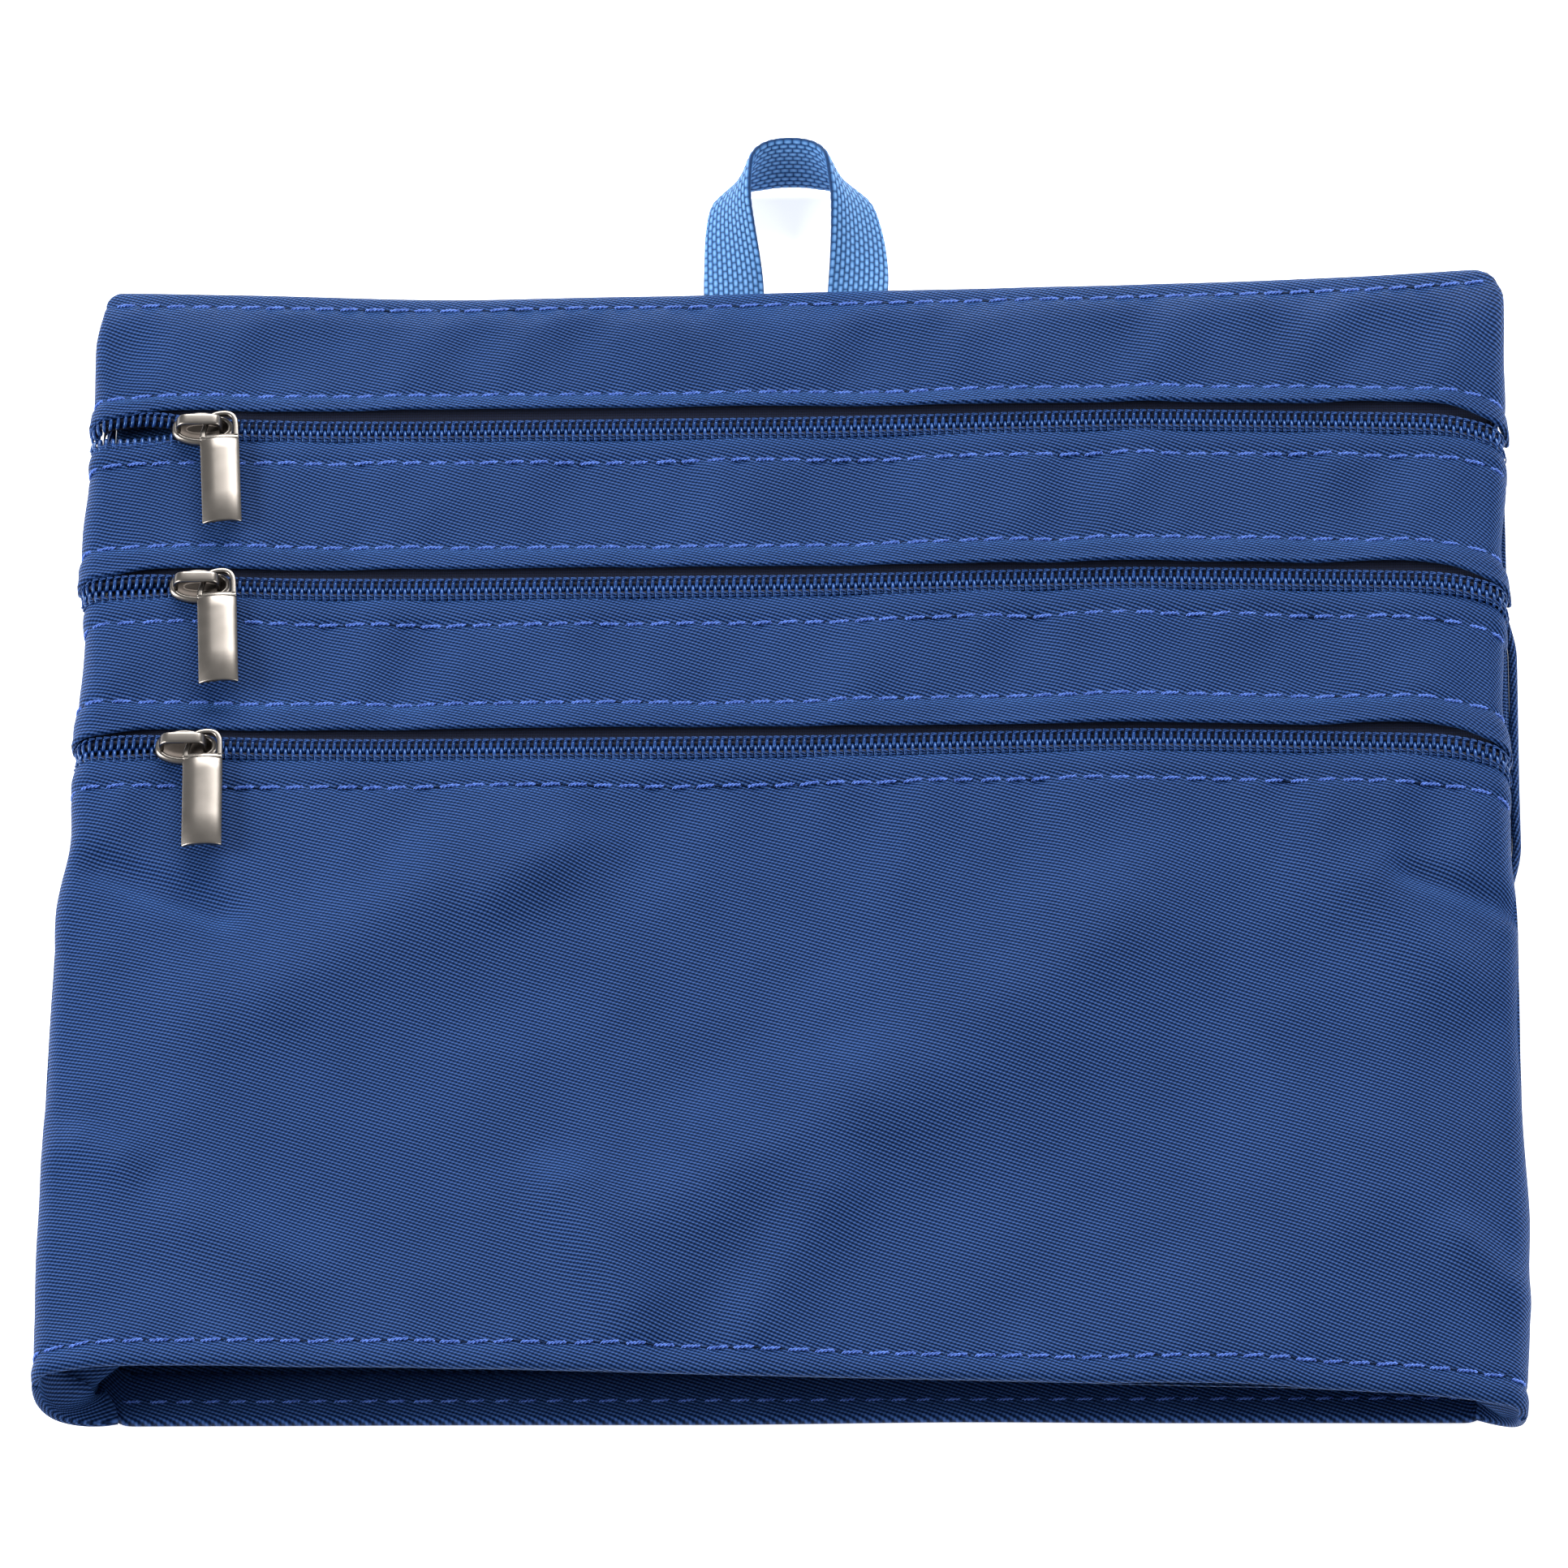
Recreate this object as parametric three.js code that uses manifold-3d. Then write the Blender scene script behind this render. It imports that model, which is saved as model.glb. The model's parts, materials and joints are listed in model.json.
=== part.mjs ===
// A flat fabric organizer for travel documents, lying on its back with its face up.
// Behind the face, three zipped pockets lie one behind the other. Behind those, a gusseted
// sleeve runs the full width and is open at the hem. A webbing loop is sewn into the top seam.
// Millimetres. +X runs along the zippers, +Y from the hem to the loop, +Z out of the face.
// The origin is at the middle of the whole outline, on the plane that the back panel lies on.
import * as THREE from "three";
import { mergeVertices } from "three/addons/utils/BufferGeometryUtils.js";
import Module from "manifold-3d";

const wasm = await Module();
wasm.setup();

// ---- Driving dimensions ----
const WIDTH = 240; // over the wrapped side edges of the face
const LENGTH = 215; // from the hem to the top seam
const DEPTH_AT_HEM = 18; // from the back panel's underside to the face, at the open hem
const LOOP_REACH = 28.7; // from the top seam to the far edge of the loop
const GAP = 0.3; // between neighbouring solids

const CLOTH = 0.7; // face fabric with its interfacing
const LINING = 0.3;
const BACK_THICK = 1.0; // back panel with its lining

const SEAM_Z = 2.0; // height of the line that the face folds about, in the top seam
const FACE = 4.5; // height of the face over that line, square to the face
const WEDGE = Math.asin((DEPTH_AT_HEM - SEAM_Z - FACE) / LENGTH); // angle from back to face

const ZIP_FIRST = 29.8; // from the top seam to the middle of the first zipper
const ZIP_PITCH = 32.5; // from one zipper to the next
const ZIP_NAMES = ["zipper_1", "zipper_2", "zipper_3"];
const LIP_ABOVE = 2.9; // from a zipper's middle to the cloth edge on its loop side
const LIP_BELOW = 2.6; // and to the cloth edge on its hem side

const COIL_HALF = 2.2; // half the width of a closed coil chain
const COIL_HIGH = 1.7;
const COIL_PROUD = 0.2; // coil over the face
const TAPE_REACH = 8.6;
const TAPE_THICK = 0.4;
const POST_SLOT = 0.45; // half the slot that the slider's post runs in

const SLIDER_PARK_X = [-102.4, -101.2, -101.9]; // middle of each slider, parked beside the left end
const PULL_LENGTH = 23.2;
const PULL_WIDTH = 6.7;
const PULL_TILT = THREE.MathUtils.degToRad(2.8); // its tip lies lower than its eye

const THREAD = 0.4;
const THREAD_GAP = 0.15; // between a thread and the cloth under it
const STITCH_FROM_ZIP = 7.5;
const STITCH_FROM_SEAM = 3.2;
const STITCH_FROM_HEM = 4.5;

const WEBBING = 10.4; // width of the loop's webbing
const WEBBING_THICK = 1.2;

const MIDDLE_Y = (LENGTH + LOOP_REACH) / 2;
const SEAM_Y = LENGTH - MIDDLE_Y;
const HEM_Y = -MIDDLE_Y;
const zipAt = (index) => ZIP_FIRST + index * ZIP_PITCH;

// ---- Materials ----
const material = (color, roughness, metalness = 0) =>
  new THREE.MeshStandardMaterial({ color, roughness, metalness });
const twill = material(0x2c4a8c, 0.55);
const liningCloth = material(0x2b2d30, 0.85);
const coilNylon = material(0x1d3a78, 0.4);
const tapeCloth = material(0x1b3470, 0.7);
const threadBlue = material(0x4a5fc4, 0.5);
const webbingBlue = material(0x5b8ed0, 0.6);
const nickel = material(0xbdb3a8, 0.22, 1);

// ---- Helpers ----
const shapeOf = (points) => new THREE.Shape(points.map(([x, y]) => new THREE.Vector2(x, y)));

// Sweeps a closed outline of [x, z] points along Y. outlineAt(0) is the section at yStart and
// outlineAt(1) the one at yEnd, each with the same number of points.
function loft(outlineAt, yStart, yEnd, steps = 1) {
  const first = outlineAt(0);
  const depth = yStart - yEnd;
  const geometry = new THREE.ExtrudeGeometry(shapeOf(first), {
    depth,
    steps,
    bevelEnabled: false,
  });
  const position = geometry.getAttribute("position");
  for (let i = 0; i < position.count; i++) {
    const [x, z] = [position.getX(i), position.getY(i)];
    const share = position.getZ(i) / depth;
    const corner = first.findIndex(([a, b]) => Math.hypot(a - x, b - z) < 1e-4);
    const [newX, newZ] = outlineAt(share)[corner];
    position.setXYZ(i, newX, yStart - share * depth, newZ);
  }
  geometry.computeVertexNormals();
  return geometry;
}

// A flat plate: its outline is a THREE.Shape in XY, from zLow up by thick.
function plate(shape, zLow, thick) {
  const geometry = new THREE.ExtrudeGeometry(shape, {
    depth: thick,
    bevelEnabled: false,
    curveSegments: 6,
  });
  return geometry.translate(0, 0, zLow);
}

function block(xLow, xHigh, yLow, yHigh, zLow, zHigh) {
  const geometry = new THREE.BoxGeometry(xHigh - xLow, yHigh - yLow, zHigh - zLow);
  return geometry.translate((xLow + xHigh) / 2, (yLow + yHigh) / 2, (zLow + zHigh) / 2);
}

function solidOf(geometry) {
  const bare = geometry.index ? geometry.toNonIndexed() : geometry.clone();
  bare.deleteAttribute("normal");
  bare.deleteAttribute("uv");
  const merged = mergeVertices(bare, 1e-4);
  return new wasm.Manifold(
    new wasm.Mesh({
      numProp: 3,
      vertProperties: merged.attributes.position.array,
      triVerts: new Uint32Array(merged.index.array),
    }),
  );
}

function union(geometries) {
  const joined = geometries.map(solidOf).reduce((sum, next) => sum.add(next)).getMesh();
  const geometry = new THREE.BufferGeometry();
  geometry.setAttribute("position", new THREE.BufferAttribute(joined.vertProperties, 3));
  geometry.setIndex(new THREE.BufferAttribute(joined.triVerts, 1));
  geometry.computeVertexNormals();
  return geometry;
}

function addNode(parent, name, geometry, surface) {
  const mesh = new THREE.Mesh(geometry, surface);
  mesh.name = name;
  parent.add(mesh);
  return mesh;
}

const root = new THREE.Group();

// The face and all that is sewn to it, in a frame of its own: its X axis is the fold line in
// the top seam, its -Y axis runs down to the hem and its Z axis is square to the face.
const face = new THREE.Group();
face.position.set(0, SEAM_Y, SEAM_Z);
face.rotation.x = -WEDGE;
root.add(face);

// ---- Back panel, its hem facing and the top seam ----
const BACK_HALF = WIDTH / 2 - 0.5;
const BACK_CORNER = 5;
const backShape = new THREE.Shape();
backShape.moveTo(-BACK_HALF, HEM_Y);
backShape.lineTo(BACK_HALF, HEM_Y);
backShape.lineTo(BACK_HALF, SEAM_Y - BACK_CORNER);
backShape.absarc(BACK_HALF - BACK_CORNER, SEAM_Y - BACK_CORNER, BACK_CORNER, 0, Math.PI / 2);
backShape.absarc(BACK_CORNER - BACK_HALF, SEAM_Y - BACK_CORNER, BACK_CORNER, Math.PI / 2, Math.PI);
addNode(root, "back_panel", plate(backShape, 0, BACK_THICK), twill);

const FACING_HALF = 104;
const FACING_DEEP = 8;
const FACING_THICK = 0.5;
const facingLow = BACK_THICK + GAP;
addNode(
  root,
  "back_hem_facing",
  block(-FACING_HALF, FACING_HALF, HEM_Y, HEM_Y + FACING_DEEP, facingLow, facingLow + FACING_THICK),
  twill,
);
const backThreadLow = facingLow + FACING_THICK + THREAD_GAP;
const backThreadY = HEM_Y + STITCH_FROM_HEM;
addNode(
  root,
  "back_hem_topstitch",
  block(
    -FACING_HALF, FACING_HALF,
    backThreadY - THREAD / 2, backThreadY + THREAD / 2,
    backThreadLow, backThreadLow + THREAD,
  ),
  threadBlue,
);
addNode(
  root,
  "top_seam_allowance",
  block(-112, 112, SEAM_Y - 6, SEAM_Y - 1, BACK_THICK + GAP, BACK_THICK + GAP + 0.8),
  twill,
);

// ---- Side seams: the folded ridge where each gusset meets the back panel ----
const SEAM_RIDGE = 1.2;
for (const [name, side] of [["left", -1], ["right", 1]]) {
  const inner = side * (BACK_HALF + GAP);
  const outer = inner + side * SEAM_RIDGE;
  addNode(
    root,
    `${name}_side_seam`,
    block(
      Math.min(inner, outer), Math.max(inner, outer),
      HEM_Y + 2, SEAM_Y - 2 * BACK_CORNER,
      0.2, 1.4,
    ),
    twill,
  );
}

// ---- Gussets: a V fold in each side of the sleeve, from the hem nearly to the top seam ----
const GUSSET_OUT = WIDTH / 2 - 0.6;
const GUSSET_IN = 106;
const GUSSET_CLOTH = 0.45;
const GUSSET_TOP_END = 30; // where it ends, from the top seam
const faceUnder = FACE - 5.2; // underside of the sleeve's front wall, in the face's frame
const gussetLow = BACK_THICK + GAP;

function gussetOutline(side) {
  return (share) => {
    const fromSeam = LENGTH + share * (GUSSET_TOP_END - LENGTH);
    const high = SEAM_Z + fromSeam * Math.sin(WEDGE) + faceUnder - GAP;
    const middle = (high + gussetLow) / 2;
    const innerFold = GUSSET_IN + (GUSSET_CLOTH * (GUSSET_OUT - GUSSET_IN)) / (high - middle);
    const points = [
      [GUSSET_OUT, high],
      [GUSSET_IN, middle],
      [GUSSET_OUT, gussetLow],
      [GUSSET_OUT, gussetLow + GUSSET_CLOTH],
      [innerFold, middle],
      [GUSSET_OUT, high - GUSSET_CLOTH],
    ];
    const turned = points.map(([x, z]) => [side * x, z]);
    return side > 0 ? turned : turned.reverse();
  };
}
const gussetTopY = SEAM_Y - GUSSET_TOP_END;
for (const [name, side] of [["left", -1], ["right", 1]]) {
  // The loft runs from the section at the top end to the one at the hem, which is its largest.
  const outline = gussetOutline(side);
  addNode(
    root,
    `${name}_gusset`,
    loft((share) => outline(1 - share), gussetTopY, HEM_Y + GAP),
    twill,
  );
}

// ---- Face cloth: four strips whose sides wrap round the stack of pockets ----
const WRAP_RADIUS = 2;
const WRAP_ARC = 4;
const SIDE_LOW = -0.3; // lower edge of a wrapped side, in the face's frame

// The section of a strip: flat on top, with each side rounded over and turned down.
function wrapOutline(half, top, radius) {
  const line = (offset) => {
    const points = [[half - offset, SIDE_LOW]];
    for (let i = 0; i <= WRAP_ARC; i++) {
      const angle = (i / WRAP_ARC) * (Math.PI / 2);
      const r = radius - offset;
      points.push([half - radius + r * Math.cos(angle), top - radius + r * Math.sin(angle)]);
    }
    return points;
  };
  const mirrored = (points) => points.map(([x, z]) => [-x, z]).reverse();
  const outside = line(0);
  const inside = line(CLOTH);
  return [...outside, ...mirrored(outside), ...[...inside, ...mirrored(inside)].reverse()];
}

const HALF = WIDTH / 2;
const SEAM_TOP = 1.6; // height of the cloth at the top seam, in the face's frame
const TOP_BAND_START = 0.6;
const TOP_CORNER = 4;
const topBandEnd = zipAt(0) - LIP_ABOVE;

// The first strip slopes down to the top seam, and its corners are rounded in plan.
function topBandOutline(share) {
  const fromSeam = TOP_BAND_START + share * (topBandEnd - TOP_BAND_START);
  const top = SEAM_TOP + (FACE - SEAM_TOP) * share;
  const corner = Math.max(0, TOP_CORNER - fromSeam);
  const half = HALF - (TOP_CORNER - Math.sqrt(TOP_CORNER ** 2 - corner ** 2));
  const radius = 1.1 + (WRAP_RADIUS - 1.1) * share;
  return wrapOutline(half, top, radius);
}
addNode(face, "top_band", loft(topBandOutline, -TOP_BAND_START, -topBandEnd, 8), twill);

const flatOutline = () => wrapOutline(HALF, FACE, WRAP_RADIUS);
const strips = [
  ["upper_band", zipAt(0) + LIP_BELOW, zipAt(1) - LIP_ABOVE],
  ["middle_band", zipAt(1) + LIP_BELOW, zipAt(2) - LIP_ABOVE],
  ["lower_panel", zipAt(2) + LIP_BELOW, LENGTH],
];
for (const [name, start, end] of strips)
  addNode(face, name, loft(flatOutline, -start, -end), twill);

// ---- Hem facing, pocket dividers and the sleeve's front wall ----
const INNER_HALF = HALF - CLOTH - GAP - 0.2;
const layer = (name, start, end, top, thick, surface) =>
  addNode(face, name, block(-INNER_HALF, INNER_HALF, -end, -start, top - thick, top), surface);
layer("front_hem_facing", LENGTH - FACING_DEEP, LENGTH - 0.4, FACE - 1.0, FACING_THICK, twill);
layer("pocket_divider_front", zipAt(1) + 5, LENGTH - 9, FACE - 3.5, LINING, liningCloth);
layer("pocket_divider_rear", zipAt(0) + 5, LENGTH - 9, FACE - 4.1, LINING, liningCloth);
layer("sleeve_front_wall", 7.5, LENGTH - 0.8, FACE - 4.7, 0.5, twill);

// ---- Zippers: two tapes, two coil rows, a slider and its pull each ----
const ROW_HALF = 118;
const TAPE_TOP = FACE + COIL_PROUD - COIL_HIGH - GAP;
const sides = [["upper", 1], ["lower", -1]];

function addRows(name, middle) {
  for (const [word, side] of sides) {
    const strip = (from, to, low, high) => {
      const [a, b] = [-middle + side * from, -middle + side * to];
      return block(-ROW_HALF, ROW_HALF, Math.min(a, b), Math.max(a, b), low, high);
    };
    const coilTop = FACE + COIL_PROUD;
    const coil = strip(POST_SLOT, COIL_HALF, coilTop - COIL_HIGH, coilTop);
    const tape = strip(POST_SLOT + 0.1, TAPE_REACH, TAPE_TOP - TAPE_THICK, TAPE_TOP);
    addNode(face, `${name}_${word}_coil`, coil, coilNylon);
    addNode(face, `${name}_${word}_tape`, tape, tapeCloth);
  }
}

// The slider's frame: X along the chain, Y across it, Z square to the face, zero at the face.
const SLIDER_LEFT = -5.4;
const SLIDER_RIGHT = 5.2;
const SLIDER_HALF = 3.45;
const SLIDER_NARROW = 2.4; // half width of its closed end
const PLATE_TOP = 1.25;
const PLATE_LOW = 0.45;
const LOWER_PLATE_TOP = TAPE_TOP - TAPE_THICK - FACE - 0.2;
const LOWER_PLATE_THICK = 0.7;
const LEG_X = 2.8; // middle of the bridge's right leg, which the pull swings round

function sliderOutline() {
  const shape = new THREE.Shape();
  shape.moveTo(SLIDER_RIGHT, SLIDER_NARROW);
  shape.bezierCurveTo(2.4, SLIDER_NARROW, 1.6, SLIDER_HALF, -1.2, SLIDER_HALF);
  shape.bezierCurveTo(-3.6, SLIDER_HALF, SLIDER_LEFT, 1.8, SLIDER_LEFT, 0);
  shape.bezierCurveTo(SLIDER_LEFT, -1.8, -3.6, -SLIDER_HALF, -1.2, -SLIDER_HALF);
  shape.bezierCurveTo(1.6, -SLIDER_HALF, 2.4, -SLIDER_NARROW, SLIDER_RIGHT, -SLIDER_NARROW);
  return shape;
}

function bridge() {
  const outline = [
    [-4.4, 0], [LEG_X + 0.5, 0], [LEG_X + 0.5, 1.9], [LEG_X - 0.1, 2.7], [-3.6, 2.7], [-4.4, 1.8],
  ];
  const shape = shapeOf(outline);
  shape.holes.push(new THREE.Path([
    new THREE.Vector2(-3.4, 0.02),
    new THREE.Vector2(-3.4, 1.8),
    new THREE.Vector2(LEG_X - 0.5, 1.8),
    new THREE.Vector2(LEG_X - 0.5, 0.02),
  ]));
  const arch = new THREE.ExtrudeGeometry(shape, { depth: 2, bevelEnabled: false });
  return arch.rotateX(Math.PI / 2).translate(0, 1, PLATE_TOP - 0.02);
}

function sliderBody() {
  const postLow = LOWER_PLATE_TOP - 0.1;
  const flange = (side) => {
    const [a, b] = [side * 2.5, side * 3.1];
    return block(-2.8, 1.2, Math.min(a, b), Math.max(a, b), PLATE_LOW - 0.35, PLATE_LOW + 0.1);
  };
  return union([
    plate(sliderOutline(), PLATE_LOW, PLATE_TOP - PLATE_LOW),
    plate(sliderOutline(), LOWER_PLATE_TOP - LOWER_PLATE_THICK, LOWER_PLATE_THICK),
    block(-4.6, -2.6, -0.25, 0.25, postLow, PLATE_LOW + 0.1),
    flange(1),
    flange(-1),
    bridge(),
  ]);
}

// The pull's frame has its origin on the bridge's right leg. Its plate points to the hem.
const PULL_THICK = 1.1;
const EYE_HALF = 2;
const EYE_TOP = 1.8;
const EYE_BOTTOM = -2.6;
const EYE_BAR = 1.2;

function pullPlate() {
  const half = PULL_WIDTH / 2;
  const tip = EYE_TOP + EYE_BAR - PULL_LENGTH;
  const shape = shapeOf([
    [-half, tip], [half, tip], [half, EYE_BOTTOM - 1.2], [half - 0.25, 0.8],
    [half - 1, 2.4], [half - 1.9, EYE_TOP + EYE_BAR], [1.9 - half, EYE_TOP + EYE_BAR],
    [1 - half, 2.4], [0.25 - half, 0.8], [-half, EYE_BOTTOM - 1.2],
  ]);
  shape.holes.push(new THREE.Path([
    [-EYE_HALF, EYE_BOTTOM], [-EYE_HALF, 1], [-1.1, EYE_TOP],
    [1.1, EYE_TOP], [EYE_HALF, 1], [EYE_HALF, EYE_BOTTOM],
  ].map(([x, y]) => new THREE.Vector2(x, y))));
  return plate(shape, 0, PULL_THICK);
}

function addSlider(index, middle) {
  const number = index + 1;
  const slider = new THREE.Group();
  slider.position.set(SLIDER_PARK_X[index], -middle, FACE);
  face.add(slider);
  addNode(slider, `slider_${number}_body`, sliderBody(), nickel);
  const pull = addNode(slider, `slider_${number}_pull`, pullPlate(), nickel);
  pull.position.set(LEG_X, 0, PLATE_TOP + 0.35);
  pull.rotation.x = PULL_TILT;
}

ZIP_NAMES.forEach((name, index) => {
  addRows(name, zipAt(index));
  addSlider(index, zipAt(index));
});

// ---- Topstitching: one thread for each sewn line, lying on the face ----
function addThread(name, fromSeam, surfaceZ) {
  const half = HALF - 4;
  const low = surfaceZ + THREAD_GAP;
  const thread = block(
    -half, half,
    -fromSeam - THREAD / 2, -fromSeam + THREAD / 2,
    low, low + THREAD,
  );
  addNode(face, name, thread, threadBlue);
}
const topBandSurface = (fromSeam) => {
  const share = (fromSeam - TOP_BAND_START) / (topBandEnd - TOP_BAND_START);
  return SEAM_TOP + (FACE - SEAM_TOP) * share + 0.05;
};
addThread("topstitch_top_edge", STITCH_FROM_SEAM, topBandSurface(STITCH_FROM_SEAM));
ZIP_NAMES.forEach((name, index) => {
  const above = zipAt(index) - STITCH_FROM_ZIP;
  const surfaceZ = index === 0 ? topBandSurface(above) : FACE;
  addThread(`topstitch_above_${name}`, above, surfaceZ);
  addThread(`topstitch_below_${name}`, zipAt(index) + STITCH_FROM_ZIP, FACE);
});
addThread("topstitch_hem", LENGTH - STITCH_FROM_HEM, FACE);

// ---- Hanging loop: webbing that leaves the seam flat, twists and stands on edge at its top ----
const LOOP_X = -1.5;
const LOOP_STEPS = 36;
const LOOP_TURN = THREE.MathUtils.degToRad(108); // from flat at the seam to its lean at the top
const loopStartY = SEAM_Y + 1.6;
const loopTopY = SEAM_Y + LOOP_REACH - 2.2;
const loopLine = new THREE.CatmullRomCurve3([
  new THREE.Vector3(-10.7, loopStartY, 0),
  new THREE.Vector3(-11.2, loopStartY + 7.5, 0),
  new THREE.Vector3(-9.4, loopStartY + 16, 0),
  new THREE.Vector3(-5.4, loopTopY - 2, 0),
  new THREE.Vector3(0, loopTopY, 0),
  new THREE.Vector3(5.4, loopTopY - 2, 0),
  new THREE.Vector3(9.4, loopStartY + 16, 0),
  new THREE.Vector3(11.2, loopStartY + 7.5, 0),
  new THREE.Vector3(10.7, loopStartY, 0),
]);

function hangingLoop() {
  const up = new THREE.Vector3(0, 0, 1);
  const geometry = new THREE.BoxGeometry(WEBBING, 1, WEBBING_THICK, 2, LOOP_STEPS, 1);
  const position = geometry.getAttribute("position");
  for (let i = 0; i < position.count; i++) {
    const along = position.getY(i) + 0.5;
    const towardsTop = 1 - Math.abs(2 * along - 1);
    const turn = LOOP_TURN * THREE.MathUtils.smoothstep(towardsTop, 0.05, 0.95);
    const centre = loopLine.getPointAt(along);
    const tangent = loopLine.getTangentAt(along);
    const outward = new THREE.Vector3().crossVectors(up, tangent);
    const normal = up.clone().multiplyScalar(Math.cos(turn));
    normal.addScaledVector(outward, Math.sin(turn));
    const across = new THREE.Vector3().crossVectors(tangent, normal);
    const halfHigh = (WEBBING / 2) * Math.sin(turn) + (WEBBING_THICK / 2) * Math.abs(Math.cos(turn));
    centre.z = Math.max(SEAM_Z, 0.35 + halfHigh);
    centre.addScaledVector(across, position.getX(i));
    centre.addScaledVector(normal, position.getZ(i));
    position.setXYZ(i, centre.x + LOOP_X, centre.y, centre.z);
  }
  geometry.computeVertexNormals();
  return geometry;
}
addNode(root, "hanging_loop", hangingLoop(), webbingBlue);

export default root;
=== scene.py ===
"""The look of a travel document organizer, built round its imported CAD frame.

Cloth, zippers and stitches are laid out on the face in millimetres: t across it (the arc
length from its middle, which runs on round the wrapped sides), s down it from the top seam
and h square to it. wrap() turns those into places in the row's frame, in metres.
"""

import json
import math

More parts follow.
